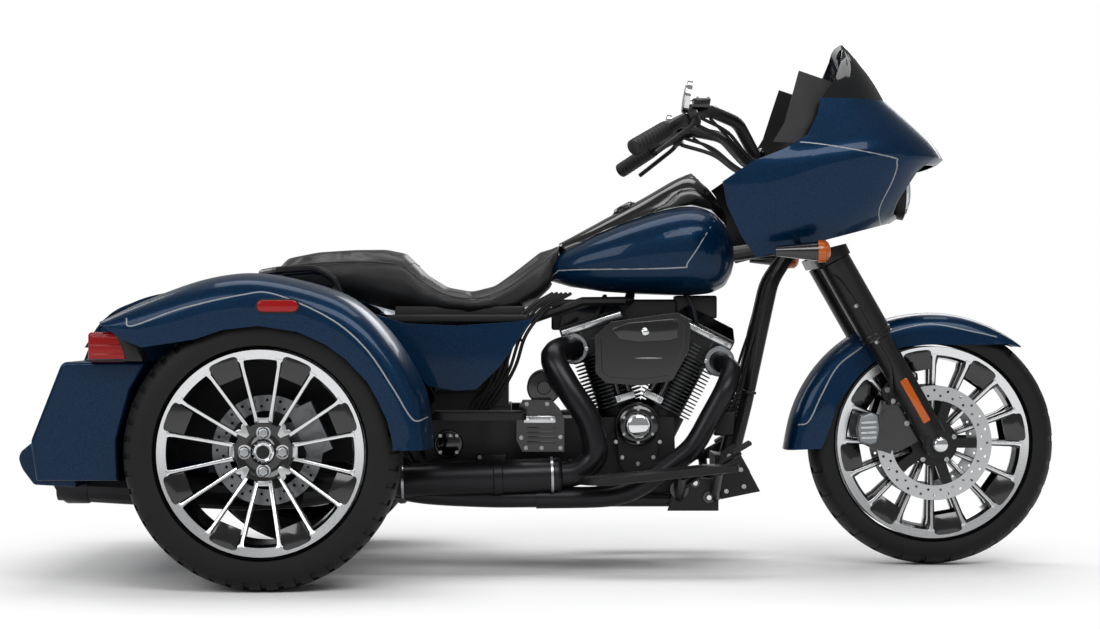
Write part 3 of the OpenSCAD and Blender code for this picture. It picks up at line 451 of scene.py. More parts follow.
# %% One finish for every solid
dress = {
    blue_paint: "fuel_tank side_covers trunk_body trunk_lid bumper",
    fairing_paint: "fairing_outer", front_fender_paint: "front_fender",
    right_fender_paint: "rear_fender_right", left_fender_paint: "rear_fender_left",
    satin_black: "frame rear_axle fork_legs fork_yokes handlebar grab_rail footboards passenger_boards",
    gloss_black: "rocker_covers tank_console primary_cover gearbox_cover front_calipers air_cleaner turn_signals",
    cast_black: "engine_case cam_cover",
    moulded_black: "fairing_inner chin_spoiler hand_controls headlamp gauges",
    heat_black: "exhaust_headers mufflers", fin_metal: "cylinders", leather: "seat", smoked: "windscreen",
    cast_grey: "rear_calipers", chrome: "mirrors", red_lens: "tail_lamps marker_lamps",
    front_rotor: "front_discs", rear_rotor: "rear_disc_right rear_disc_left",
    front_wheel: "front_rim", rear_wheel_right: "rear_rim_right", rear_wheel_left: "rear_rim_left",
    front_rubber: "front_tyre", rear_right_rubber: "rear_tyre_right", rear_left_rubber: "rear_tyre_left",
}
for material, names in dress.items():
    for name in names.split():
        solid = frame["nodes"][name]
        solid.data.materials.clear()
        solid.data.materials.append(material)
print("bare solids:", sorted(set(frame["nodes"]) - {n for names in dress.values() for n in names.split()}))

# %% [markdown]
# ## Tools for the pieces
# Most small parts of a motorcycle are one of four things: a bent tube, a turned part, a flat plate or a fastener. Each
# starts here as a single point that is extruded along a path, as one would by hand, and is then thickened, spun, filled
# or beveled. Paths are smoothed first, so a cable bends as a cable does.

# %% Paths, tubes, turned parts and plates
MERGE = 0.00005
SIDES = ((-1, "right"), (1, "left"))


def smooth_path(points, steps=6):
    points = [Vector(p) for p in points]
    ends = [points[0] * 2 - points[1]] + points + [points[-1] * 2 - points[-2]]
    path = []
    for a, b, c, d in zip(ends, ends[1:], ends[2:], ends[3:]):
        for k in range(steps):
            t = k / steps
            path.append(0.5 * (2 * b + (c - a) * t + (2 * a - 5 * b + 4 * c - d) * t ** 2
                               + (3 * b - 3 * c + d - a) * t ** 3))
    return path + [points[-1]]


def wire(points):
    deselect()
    bpy.ops.mesh.primitive_plane_add(size=0.002, location=points[0])
    piece = bpy.context.object
    bpy.ops.object.transform_apply(location=True)
    bpy.ops.object.mode_set(mode="EDIT")
    bpy.ops.mesh.select_mode(type="VERT")
    bpy.ops.mesh.select_all(action="SELECT")
    bpy.ops.mesh.merge(type="CENTER")
    for a, b in zip(points, points[1:]):
        bpy.ops.mesh.extrude_region_move(TRANSFORM_OT_translate={"value": Vector(b) - Vector(a)})
    bpy.ops.object.mode_set(mode="OBJECT")
    return piece


def tube(points, radius, steps=6, sides=2):
    if len(points) == 2:
        points = [points[0], (Vector(points[0]) + Vector(points[1])) / 2, points[1]]
    only(wire(smooth_path(points, steps) if steps else points))
    bpy.ops.object.convert(target="CURVE")
    curve = bpy.context.object
    curve.data.bevel_depth, curve.data.bevel_resolution, curve.data.use_fill_caps = radius, sides, True
    only(curve)
    bpy.ops.object.convert(target="MESH")
    return bpy.context.object


def closed(piece, extrude=None):
    edit_all(piece)
    bpy.ops.mesh.remove_doubles(threshold=MERGE)
    if extrude is not None:
        bpy.ops.mesh.edge_face_add()
        bpy.ops.mesh.extrude_region_move(TRANSFORM_OT_translate={"value": extrude})
        bpy.ops.mesh.select_all(action="SELECT")
    bpy.ops.mesh.normals_make_consistent(inside=False)
    bpy.ops.object.mode_set(mode="OBJECT")
    return piece


def turned(profile, centre, axis, steps=32):
    centre, axis = Vector(centre), Vector(axis).normalized()
    out = axis.orthogonal().normalized()
    piece = wire([centre + out * r + axis * h for r, h in profile])
    edit_all(piece)
    bpy.ops.mesh.spin(steps=steps, angle=2 * math.pi, center=centre, axis=axis)
    return closed(piece)


def plate(outline, depth, bevel=0.001, segments=2):
    outline = list(outline)
    piece = closed(wire(outline + outline[:1]), depth)
    if bevel:
        rim = piece.modifiers.new("edge", "BEVEL")
        rim.width, rim.segments, rim.limit_method, rim.angle_limit = bevel, segments, "ANGLE", math.radians(40)
    return apply_all(piece)


def upright(y, *points):
    return [Vector((x, y, z)) for x, z in points]


def oblong(x0, x1, z0, z1):
    return (x0, z0), (x1, z0), (x1, z1), (x0, z1)


def twin_of(piece):
    twin = piece.copy()
    twin.data = piece.data.copy()
    bpy.context.collection.objects.link(twin)
    return twin


def copy_at(piece, place, direction=(0, 0, 1), size=1.0):
    twin = twin_of(piece)
    turn = Vector((0, 0, 1)).rotation_difference(Vector(direction)).to_matrix().to_4x4()
    twin.matrix_world = Matrix.Translation(place) @ turn @ Matrix.Scale(size, 4)
    return set_place(twin)


def mirrored(piece, name, body):
    twin = twin_of(piece)
    twin.scale.y = -1
    set_place(twin)
    edit_all(twin)
    bpy.ops.mesh.normals_make_consistent(inside=False)
    bpy.ops.object.mode_set(mode="OBJECT")
    twin.name = twin.data.name = name
    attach(twin, body)
    return twin


# %% One socket-head screw, one hexagon nut, copied wherever the machine has them
def head(corners, radius, depth, insets, last):
    bpy.ops.mesh.primitive_cylinder_add(vertices=corners, radius=radius, depth=depth, location=(0, 0, depth / 2))
    piece = bpy.context.object
    bpy.ops.object.transform_apply(location=True)
    bpy.ops.object.mode_set(mode="EDIT")
    mesh = bmesh.from_edit_mesh(piece.data)
    for face in mesh.faces:
        face.select = face.normal.z > 0.9
    bmesh.update_edit_mesh(piece.data)
    for thickness, step in insets:
        bpy.ops.mesh.inset(thickness=thickness, depth=step)
    bpy.ops.mesh.extrude_region_move(TRANSFORM_OT_translate={"value": (0, 0, last)})
    bpy.ops.object.mode_set(mode="OBJECT")
    return piece


screw = head(20, 0.006, 0.005, ((0.0008, 0.0006), (0.0018, 0.0)), -0.003)
nut = head(6, 0.010, 0.008, ((0.0015, 0.0008), (0.002, 0.0)), 0.004)


def fasteners(name, places, direction, size=1.0, body="chassis", material=zinc, kind=screw):
    return finished(joined([copy_at(kind, place, direction, size) for place in places]), name, body, material, 35)


def skin(solid, start, direction):
    hit, place, normal, _ = panels[solid].ray_cast(Vector(start), Vector(direction))
    return (place, normal) if hit else (None, None)


# %% [markdown]
# ## Pressed and moulded panels
# Tank, fairing, fenders and console are pressed or moulded, so their surfaces flow, while the solids carry them as flat
# facets. A copy of each solid is merged, its triangles are paired back into the four-sided faces they came from, its
# sharp rims are creased, and one subdivision rounds the rest. Box-like covers keep their flats and get an eased edge.

# %% Round the facets, or ease the edges
AT_BEND, AT_CORNER, BEND_LONG, BACK = 0.0025, 0.0005, 0.02, -0.9


def copy_of(solid):
    piece = twin_of(frame["nodes"][solid])
    body = piece["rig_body"]
    for key in list(piece.keys()):
        del piece[key]
    piece.parent = None
    piece.matrix_world = Matrix.Identity(4)
    edit_all(piece)
    bpy.ops.mesh.remove_doubles(threshold=0.00003)
    return piece, body


def bevel_edges(piece, chosen, radius, segments):
    bpy.ops.mesh.select_all(action="DESELECT")
    mesh = bmesh.from_edit_mesh(piece.data)
    for edge in mesh.edges:
        edge.select_set(chosen(edge, *(vertex.co for vertex in edge.verts)))
    bmesh.update_edit_mesh(piece.data)
    bpy.ops.mesh.bevel(offset=radius, segments=segments, affect="EDGES", clamp_overlap=True)


def rounded_panel(solid, sharp=50):
    piece, body = copy_of(solid)
    bpy.ops.mesh.tris_convert_to_quads(face_threshold=math.radians(40), shape_threshold=math.radians(60))
    bpy.ops.mesh.select_all(action="DESELECT")
    bpy.ops.mesh.edges_select_sharp(sharpness=math.radians(sharp))
    bpy.ops.transform.edge_crease(value=1.0)
    bpy.ops.object.mode_set(mode="OBJECT")
    flow = piece.modifiers.new("flow", "SUBSURF")
    flow.levels = flow.render_levels = 2
    finished(piece, f"{solid}_panel", body, frame["nodes"][solid].data.materials[0], 35)
    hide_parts(solid)
    return piece


def eased_cover(solid, width, segments=3, bends=(), corner=None):
    piece, body = copy_of(solid)
    bpy.ops.mesh.dissolve_limited(angle_limit=math.radians(1))
    bpy.ops.mesh.select_mode(type="EDGE")
    for x, z, radius in bends:
        bevel_edges(piece, lambda edge, a, b: abs(a.y - b.y) > BEND_LONG and all(
            math.hypot(p.x - x, p.z - z) < AT_BEND for p in (a, b)), radius, 6)
    if corner:
        reach, radius = corner
        bevel_edges(piece, lambda edge, a, b: edge.calc_face_angle(0.0) > 1.0 and all(
            abs(abs(p.y) - reach) < AT_CORNER and p.x < BACK for p in (a, b)), radius, 5)
    bpy.ops.object.mode_set(mode="OBJECT")
    rim = piece.modifiers.new("eased", "BEVEL")
    rim.width, rim.segments, rim.limit_method, rim.angle_limit = width, segments, "ANGLE", math.radians(30)
    rim.use_clamp_overlap = True
    finished(piece, f"{solid}_cover", body, frame["nodes"][solid].data.materials[0], 35)
    flats = piece.modifiers.new("flats", "WEIGHTED_NORMAL")
    flats.keep_sharp = True
    apply_all(piece)
    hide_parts(solid)
    return piece


panels = {solid: rounded_panel(solid) for solid in (
    "fuel_tank", "tank_console", "fairing_inner", "windscreen", "front_fender", "rear_fender_right",
    "rear_fender_left")}
panels["fairing_outer"] = rounded_panel("fairing_outer", 40)
for solid, width in (("side_covers", 0.003), ("engine_case", 0.004), ("rocker_covers", 0.005),
                     ("gearbox_cover", 0.004), ("cam_cover", 0.003), ("air_cleaner", 0.004), ("tail_lamps", 0.008)):
    eased_cover(solid, width)
eased_cover("trunk_body", 0.002, 2, [(-1.176, 0.538, 0.012), (-1.250, 0.350, 0.010), (-1.120, 0.640, 0.03)],
            (0.600, 0.013))
eased_cover("trunk_lid", 0.002, 2, [(-1.127, 0.652, 0.045), (-1.121, 0.647, 0.040), (-1.002, 0.703, 0.045),
                                    (-1.000, 0.6965, 0.045)])
eased_cover("bumper", 0.003, 3, [(-1.287, 0.320, 0.014), (-1.283, 0.290, 0.016), (-1.250, 0.246, 0.012)],
            (0.560, 0.020))
print("rounded", len(panels), "panels, eased the covers")

# %% [markdown]
# ## Pinstripes
# A thin grey line follows the edges of the tank, fairing and fenders. It could be painted by the shader, but its course
# is free, so it is a fine bead instead: points are aimed at the paint from the side, and the bead is sunk until a
# stripe four millimetres wide stands less than a millimetre proud.

# %% Stripes on the painted panels
PICTURE_MID, METRES_PER_PIXEL = (540, 318.6), 0.002615
BEAD, SUNK = 0.0032, 0.78


def from_pixel(px, py, depth):
    near = (-EYE.y - depth) / -EYE.y * METRES_PER_PIXEL
    return Vector(((px - PICTURE_MID[0]) * near + EYE.x, 0, EYE.z + (PICTURE_MID[1] - py) * near))


def stripe(solids, pixels, depth, name, body):
    course = smooth_path([from_pixel(*p, depth) for p in pixels], 8)
    for side, suffix, solid in ((1, "right", solids[0]), (-1, "left", solids[-1])):
        path = []
        for p in course:
            aim = (Vector((p.x, -depth, p.z)) - EYE).normalized()
            place, normal = skin(solid, (EYE.x, EYE.y * side, EYE.z), (aim.x, aim.y * side, aim.z))
            if place is not None and abs(place.y + side * depth) < 0.2:
                path.append(place - normal * BEAD * SUNK)
        if len(path) > 3:
            finished(tube(path, BEAD, 0, 2), f"{name}_{suffix}", body, stripe_grey, 60)


stripe(["fuel_tank"], [(549, 283), (556, 273), (572, 270), (676, 268), (689, 261), (718, 215)], 0.150,
       "tank_stripe", "chassis")
stripe(["fairing_outer"], [(738, 150), (800, 142), (887, 156), (897, 163), (893, 180), (880, 207), (880, 222),
                           (886, 233)], 0.330, "fairing_stripe", "chassis")
stripe(["rear_fender_right", "rear_fender_left"],
       [(126, 318), (132, 326), (180, 309), (241, 295), (274, 294), (329, 318), (365, 348), (392, 387), (409, 415),
        (417, 421), (428, 417)], 0.62, "fender_stripe", "chassis")
stripe(["front_fender"], [(798, 425), (809, 421), (822, 394), (838, 366), (862, 347)], 0.08,
       "front_stripe_rear", "steering")
stripe(["front_fender"], [(887, 333), (928, 324), (975, 332), (997, 337)], 0.08, "front_stripe_front", "steering")
print("stripes laid")

# %% [markdown]
# ## The padded seat
# A touring seat is foam under stretched vinyl leather: the rider sits in a scoop and the passenger on a flat shelf
# behind a step. Stuffing can be simulated: the solid is remeshed evenly, then the Cloth solver blows it up a little
# with gravity off, which rounds it as foam does. The swelling is capped so that the seat stays clear of the tank. Seams
# come after, because the remesh would erase them: each is a round welt laid on the finished leather.

# %% Inflate the seat
VOXEL, SLIMMED, PRESSURE, STEPS, MOST_SWELL = 0.006, -0.004, 4.0, 20, 0.007
seat, _ = copy_of("seat")
bpy.ops.object.mode_set(mode="OBJECT")
even = seat.modifiers.new("even", "REMESH")
even.mode, even.voxel_size = "VOXEL", VOXEL
apply_all(seat)
slim = seat.modifiers.new("slim", "DISPLACE")
slim.strength, slim.mid_level = SLIMMED, 0.0
relax = seat.modifiers.new("relax", "SMOOTH")
relax.factor, relax.iterations = 0.5, 14
apply_all(seat)
start = [v.co.copy() for v in seat.data.vertices]
cloth = seat.modifiers.new("stuffing", "CLOTH")
cloth.settings.use_pressure, cloth.settings.uniform_pressure_force = True, PRESSURE
cloth.settings.effector_weights.gravity = 0.0
cloth.settings.quality = 4
cloth.point_cache.frame_start, cloth.point_cache.frame_end = 1, STEPS
for step in range(1, STEPS + 1):
    bpy.context.scene.frame_set(step)
apply_all(seat)
bpy.context.scene.frame_set(1)
for vertex, rest in zip(seat.data.vertices, start):
    moved = vertex.co - rest
    if moved.length > MOST_SWELL:
        vertex.co = rest + moved.normalized() * MOST_SWELL
fine = seat.modifiers.new("fine", "SUBSURF")
fine.levels = fine.render_levels = 1
finished(seat, "seat_pad", "chassis", leather, 60)
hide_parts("seat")
print("seat vertices", len(seat.data.vertices))

# %% Welts along the seams
WELT, WELT_SUNK = 0.0028, 0.4


def welt(points, name, aim):
    path = []
    for p in smooth_path(points, 10):
        hit, place, normal, _ = seat.ray_cast(Vector(p), Vector(aim))
        if hit:
            path.append(place - normal * WELT * WELT_SUNK)
    finished(tube(path, WELT, 0, 2), name, "chassis", leather, 60)


for side, hand in ((1, "right"), (-1, "left")):
    y = -0.30 * side
    welt(upright(y, (-0.40, 0.775), (-0.33, 0.722), (-0.27, 0.696), (-0.20, 0.694), (-0.13, 0.722), (-0.06, 0.775),
                 (-0.03, 0.805)), f"seat_welt_{hand}", (0, side, 0))
    welt(upright(y, (-0.72, 0.772), (-0.62, 0.782), (-0.50, 0.786), (-0.42, 0.780)), f"pillion_welt_{hand}",
         (0, side, 0))
welt([(-0.385, -0.15, 0.9), (-0.372, -0.08, 0.9), (-0.366, 0, 0.9), (-0.372, 0.08, 0.9), (-0.385, 0.15, 0.9)],
     "step_welt", (0, 0, -1))
print("welts laid")

# %% [markdown]
# ## Wheels up close
# Each rear wheel is a dished sixteen-spoke casting held by four nuts round a bare cap. Turned on a lathe after it is
# painted, its face is bright and its pockets stay black. The hub is modelled once for the right wheel and mirrored, and
# the joints between the spoke pairs are small machined plates: a square yoke on each quarter and a wedge between.

# %% Hub, yokes, wedges, nuts and cap of the rear wheels
HUB, OUTWARD, NUT_CIRCLE = REAR_AXLE - Vector((0, 0.5875, 0)), (0, -1, 0), 0.045
QUARTERS = (0, 90, 180, 270)


def around(centre, radius, degrees, y=0.0):
    turn = math.radians(degrees)
    return Vector((centre[0] + radius * math.cos(turn), centre[1] + y, centre[2] + radius * math.sin(turn)))


def hub_plates(ring, degrees, y, thick):
    return joined([plate([around(HUB, r, d + side, y) for r, side in ring], (0, thick, 0), 0.0012) for d in degrees])


for part, name, material in (
        (turned([(0.028, 0.006), (0.034, 0.001), (0.056, 0.001), (0.060, 0.004), (0.068, 0.004), (0.071, 0.0),
                 (0.071, -0.012)], HUB, OUTWARD, 48), "hub_dish", gloss_black),
        (turned([(0.0, 0.014), (0.017, 0.014), (0.018, 0.012), (0.022, 0.013), (0.026, 0.010), (0.027, 0.0)],
                HUB, OUTWARD, 48), "hub_cap", chrome),
        (turned([(0.0, 0.0155), (0.0155, 0.0150), (0.0165, 0.0135)], HUB, OUTWARD, 40), "cap_face", satin_black),
        (hub_plates([(0.072, 17), (0.072, -17), (0.098, -15), (0.098, -9), (0.082, -10), (0.082, 10), (0.098, 9),
                     (0.098, 15)], QUARTERS, -0.004, 0.016), "spoke_yokes", machined),
        (hub_plates([(0.052, 6), (0.052, -6), (0.084, -12), (0.080, -3), (0.074, 0), (0.080, 3), (0.084, 12)],
                    (45, 135, 225, 315), -0.005, 0.014), "spoke_wedges", machined),
        (joined([turned([(0.013, 0.003), (0.017, 0.0035), (0.0185, 0.0)], around(HUB, NUT_CIRCLE, quarter), OUTWARD,
                        24) for quarter in QUARTERS]), "lug_seats", machined)):
    mirrored(finished(part, f"{name}_right", "rear_wheel_right", material), f"{name}_left", "rear_wheel_left")
mirrored(fasteners("lug_nuts_right", [around(HUB, NUT_CIRCLE, quarter, -0.001) for quarter in QUARTERS], OUTWARD,
                   1.15, "rear_wheel_right", kind=nut), "lug_nuts_left", "rear_wheel_left")

# %% [markdown]
# ## Tread cut into the rubber
# The shoulder of a road tyre shows its tread blocks even in silhouette, which bump can't do. The tyre is turned from
# its section, then every few faces of the shoulder are inset and pushed in, as a mould does.

# %% Turn the tyres and cut the shoulders
SHOULDER, STAGGER = (0.030, 0.001), 1.5


def cut_tyre(solid, centre, section, inside, steps, every, body, material, depth):
    (rim, wall), *rest = section
    ring = [(rim, wall), *rest, *((r, -h) for r, h in reversed(section)), (inside, 0.01 - wall),
            (inside, wall - 0.01), (rim, wall)]
    tyre = only(turned(ring, centre, (0, 1, 0), steps))
    bpy.ops.object.mode_set(mode="EDIT")
    bpy.ops.mesh.select_mode(type="FACE")
    mesh = bmesh.from_edit_mesh(tyre.data)
    crown = max(r for r, h in section)
    for face in mesh.faces:
        spot = face.calc_center_median() - centre
        turn = (math.degrees(math.atan2(spot.z, spot.x)) + (STAGGER if spot.y > 0 else 0)) % (360 / steps * every)
        face.select = (crown - SHOULDER[0] < math.hypot(spot.x, spot.z) < crown - SHOULDER[1]
                       and turn < 360 / steps)
    bmesh.update_edit_mesh(tyre.data)
    bpy.ops.mesh.extrude_region_shrink_fatten(TRANSFORM_OT_shrink_fatten={"value": -depth})
    bpy.ops.object.mode_set(mode="OBJECT")
    finished(tyre, f"{solid}_tread", body, material, 30)
    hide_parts(solid)


REAR_SECTION = [(0.247, -0.094), (0.252, -0.1035), (0.268, -0.1065), (0.288, -0.1070), (0.302, -0.103),
                (0.312, -0.096), (0.3185, -0.088), (0.3235, -0.070), (0.3253, -0.045), (0.3253, -0.003)]
FRONT_SECTION = [(0.253, -0.049), (0.258, -0.060), (0.272, -0.0635), (0.284, -0.0640), (0.294, -0.0605),
                 (0.303, -0.052), (0.3115, -0.036), (0.3165, -0.020), (0.3191, -0.003)]
for (side, hand), material in zip(SIDES, (rear_right_rubber, rear_left_rubber)):
    cut_tyre(f"rear_tyre_{hand}", REAR_AXLE + Vector((0, side * REAR_MID, 0)), REAR_SECTION, 0.2475, 144, 3,
             f"rear_wheel_{hand}", material, 0.005)
cut_tyre("front_tyre", FRONT_AXLE, FRONT_SECTION, 0.2535, 120, 4, "front_wheel", front_rubber, 0.004)
print("tyres cut")

# %% Front hub: rotor bolts and axle ends
for side, hand in SIDES:
    fasteners(f"rotor_screws_{hand}", [around(FRONT_AXLE, 0.052, 72 * k + 18, side * 0.078) for k in range(5)],
              (0, side, 0), 1.1, "front_wheel")
    finished(turned([(0.0, 0.012), (0.014, 0.012), (0.018, 0.009), (0.0205, 0.0)],
                    FRONT_AXLE + Vector((0, side * 0.165, 0)), (0, side, 0), 32),
             f"axle_cap_{hand}", "steering", chrome)

# %% [markdown]
# ## Spokes that meet the ring
# Each spoke is capped by a machined strip that widens into the ring, and between the two spokes of a pair the ring is
# scooped out by a black pocket with round corners. The pockets lie over the ring's edge, which gives it its scallops.
# On the narrow front wheel the dark flanks of the spokes show as well, so webs are set behind the strips.

# %% Strips, pockets and webs on the three wheels
PAIRS, PAIR_HALF, SPLAY, ROOT_SHARE = 8, 9.5, 1.5, 0.7
STRIP_LIFT, POCKET_EDGE, POCKET_LONG = -0.0006, 0.0112, 0.051


def wheel_face(axle, mid, rim, hub, dish, face, phase, web, name, body, material, twin):
    foot = hub * ROOT_SHARE
    reach = rim - 0.026 - foot
    near, far = reach * 0.17, reach + 0.004
    strip = ((near, -0.0042), (near, 0.0042), (far * 0.5, 0.0034), (far - 0.018, 0.0036), (far - 0.006, 0.0060),
             (far, 0.011), (far, -0.0085), (far - 0.008, -0.0038), (far * 0.5, -0.0034))
    flank = ((near, -0.006), (near, 0.006), (far - 0.030, 0.0085), (far, 0.015), (far, -0.012),
             (far - 0.030, -0.0085))
    corners = [(rim - 0.062, 8.6), (rim - 0.020, 9.0), (rim - 0.0155, 8.6), (rim - 0.0125, 7.4), (rim - 0.0115, 5.6),
               (rim - POCKET_EDGE, 0.0)]
    pocket = corners + [(r, -a) for r, a in reversed(corners[:-1])]
    strips, pockets, webs = [], [], []
    for pair in range(PAIRS):
        centre = phase + pair * 360 / PAIRS
        for side in (-1, 1):
            start = math.radians(centre + side * PAIR_HALF)
            turn = start + math.radians(side * SPLAY)
            root = Vector((foot * math.cos(start), 0, foot * math.sin(start)))
            out = Vector((math.cos(turn), 0, math.sin(turn)))
            across = Vector((-math.sin(turn), 0, math.cos(turn))) * side

            def spoke(outline, low):
                for t, wide in outline:
                    high = face - 0.010 - dish * (1 - t / reach) + 0.0062 * max(0.0, t / reach - 0.3) / 0.7 - low
                    p = root + out * t + across * wide
                    yield Vector((axle[0] + p.x, mid - high, axle[2] + p.z))
            strips.append(plate(spoke(strip, STRIP_LIFT), (0, 0.007, 0), 0.0008))
            if web:
                webs.append(plate(spoke(flank, 0.004), (0, web, 0), 0.003))
        pockets.append(plate([around(axle, r, centre + a, mid - (face - 0.0006 - 0.0105 * (
            rim - POCKET_EDGE - r) / POCKET_LONG)) for r, a in pocket], (0, 0.004, 0), 0.0007))
    for parts, kind, finish_of in ((strips, "spoke_strips", material), (pockets, "ring_pockets", gloss_black),
                                   (webs, "spoke_webs", gloss_black)):
        if parts:
            mirrored(finished(joined(parts), f"{kind}_{name}", body, finish_of), f"{kind}_{twin}",
                     body.replace("right", "left"))


wheel_face(REAR_AXLE, -REAR_MID, 0.246, 0.062, 0.066, 0.0995, 22.5, 0, "right", "rear_wheel_right", rear_spokes,
           "left")
wheel_face(FRONT_AXLE, 0.0, 0.252, 0.040, 0.012, 0.057, 10.0, 0.030, "front_right", "front_wheel", front_spokes,
           "front_left")
print("wheel faces finished")

# %% [markdown]
# ## Engine and gearbox, right side
# What makes a motorcycle engine read as real is its small bright parts on black: the turned cover on the cam case, the
# screws round each lid, the tappet blocks at the foot of the pushrod tubes and the clamp on the gearbox. They are
# turned, plated and copied into place, each one resting on the solid behind it.

# %% Cam case, tappet blocks and pushrod tubes
CAM, CASE = Vector((0.200, -0.1585, 0.367)), Vector((0.2, -0.1315, 0.325))
CYLINDERS = ((LEAN - HALF_VEE, 0.168, "rear"), (LEAN + HALF_VEE, 0.240, "front"))


def leaning(degrees):
    up = Vector((math.sin(math.radians(degrees)), 0, math.cos(math.radians(degrees))))
    return up, Vector((up.z, 0, -up.x))


def framed(base, along, up, *corners):
    return [base + along * a + up * b for a, b in corners]


finished(turned([(0.0, 0.006), (0.024, 0.006), (0.027, 0.004), (0.029, 0.0045), (0.032, 0.002), (0.032, -0.004)],
                CAM, OUTWARD, 48), "cam_medallion", "chassis", chrome)
finished(turned([(0.033, 0.002), (0.040, 0.003), (0.050, -0.002), (0.052, -0.012)], CAM + Vector((0, 0.002, 0)),
                OUTWARD, 48), "cam_ring", "chassis", gloss_black)
fasteners("cam_ring_screws", [around(CAM, 0.042, a, -0.0005) for a in range(30, 360, 60)], OUTWARD, 0.7)
fasteners("cam_case_screws", [around(CASE, 0.056, a) for a in (0, 180, 225, 270, 315)], OUTWARD, 0.9)
for degrees, x, name in CYLINDERS:
    foot = Vector((x, -0.118, 0.440))
    up, cross = leaning(degrees)
    finished(plate(framed(foot, cross, up, *oblong(-0.026, 0.026, -0.010, 0.010)), (0, -0.020, 0), 0.003, 3),
             f"tappet_block_{name}", "chassis", machined)
    fasteners(f"tappet_screws_{name}", [foot + cross * a + Vector((0, -0.020, 0)) for a in (-0.018, 0.018)], OUTWARD,
              0.8)
    finished(joined([tube([foot + cross * a + up * 0.012, foot + cross * a * 0.8 + up * 0.13], 0.0085, 0, 3)
                     for a in (-0.014, 0.014)]), f"pushrod_tubes_{name}", "chassis", gloss_black)

# %% Rocker covers: machined strip and screws on each side
for degrees, _, name in CYLINDERS:
    up, cross = leaning(degrees)
    base = CRANK + up * 0.3685
    for side, hand in SIDES:
        wall = base + Vector((0, side * 0.0722, 0))
        finished(plate(framed(wall, cross, up, *oblong(-0.080, 0.080, 0.004, 0.017)), (0, side * 0.003, 0)),
                 f"rocker_strip_{name}_{hand}", "chassis", machined)
        fasteners(f"rocker_screws_{name}_{hand}", [wall + cross * a + up * 0.0105 + Vector((0, side * 0.003, 0))
                                                   for a in (-0.066, -0.022, 0.022, 0.066)], (0, side, 0), 0.75)
    fasteners(f"cover_screws_{name}", [base + cross * a + up * 0.0265 + Vector((0, b, 0))
                                       for a in (-0.072, 0.072) for b in (-0.055, 0.055)], up, 0.9)

# %% Air cleaner: inset lozenge, rim and centre screw
finished(plate(upright(-0.1862, (0.130, 0.612), (0.176, 0.630), (0.286, 0.640), (0.300, 0.628), (0.298, 0.590),
                       (0.280, 0.584), (0.196, 0.580), (0.150, 0.588)), (0, -0.0045, 0), 0.003, 3),
         "air_cleaner_lozenge", "chassis", gloss_black)
finished(turned([(0.0, 0.004), (0.007, 0.004), (0.0095, 0.002), (0.011, 0.0)], (0.216, -0.1905, 0.606), OUTWARD, 24),
         "air_cleaner_screw", "chassis", chrome)
finished(tube([(0.104, -0.170, 0.548), (0.180, -0.1815, 0.540), (0.270, -0.1815, 0.540), (0.322, -0.170, 0.548)],
              0.004), "air_cleaner_crease", "chassis", gloss_black)

# %% Gearbox side: ribbed lid, clamp, screws and the pivot cover behind it
finished(plate(upright(-0.1502, *oblong(-0.092, -0.010, 0.374, 0.392)), (0, -0.006, 0), 0.002), "gearbox_clamp",
         "chassis", machined)
fasteners("clamp_screws", upright(-0.1562, (-0.082, 0.383), (-0.020, 0.383)), OUTWARD, 0.9, material=chrome)
fasteners("gearbox_screws", upright(-0.1402, (-0.098, 0.336), (-0.098, 0.398), (-0.084, 0.422), (-0.032, 0.422),
                                    (0.002, 0.338), (0.002, 0.310), (-0.046, 0.310), (-0.086, 0.310)), OUTWARD)
for k, z in enumerate((0.322, 0.334, 0.346, 0.358)):
    finished(plate(upright(-0.1402, *oblong(-0.082, -0.010, z, z + 0.005)), (0, -0.004, 0)), f"gearbox_rib_{k}",
             "chassis", gloss_black)
finished(turned([(0.0, 0.010), (0.020, 0.010), (0.026, 0.006), (0.034, 0.006), (0.038, 0.0), (0.038, -0.004)],
                (-0.285, -0.1005, 0.318), OUTWARD, 36), "pivot_cover", "chassis", gloss_black)
fasteners("pivot_screws", [around((-0.285, -0.1065, 0.318), 0.030, a) for a in (45, 135, 225, 315)], OUTWARD, 0.8)
for k, (x, z, w, h) in enumerate(((-0.325, 0.228, 0.090, 0.050), (-0.215, 0.232, 0.080, 0.060),
                                  (-0.120, 0.232, 0.120, 0.048), (0.020, 0.222, 0.080, 0.060))):
    finished(plate(upright(-0.1002, *oblong(x, x + w, z, z + h)), (0, -0.010, 0), 0.005, 3), f"case_boss_{k}",
             "chassis", cast_black)
fasteners("case_screws", upright(-0.1102, (-0.315, 0.240), (-0.245, 0.268), (-0.205, 0.284), (-0.145, 0.242),
                                 (-0.108, 0.270), (-0.012, 0.242), (0.030, 0.272), (0.090, 0.232)), OUTWARD, 0.9)
print("engine dressed")

# %% [markdown]
# ## Exhaust with its shields
# The headers are thin tubes inside black heat shields, which are what the eye sees: the rear one sweeps down into a
# wide horizontal can, and the front one joins below it. The path follows the solids, the radius that of the shields.

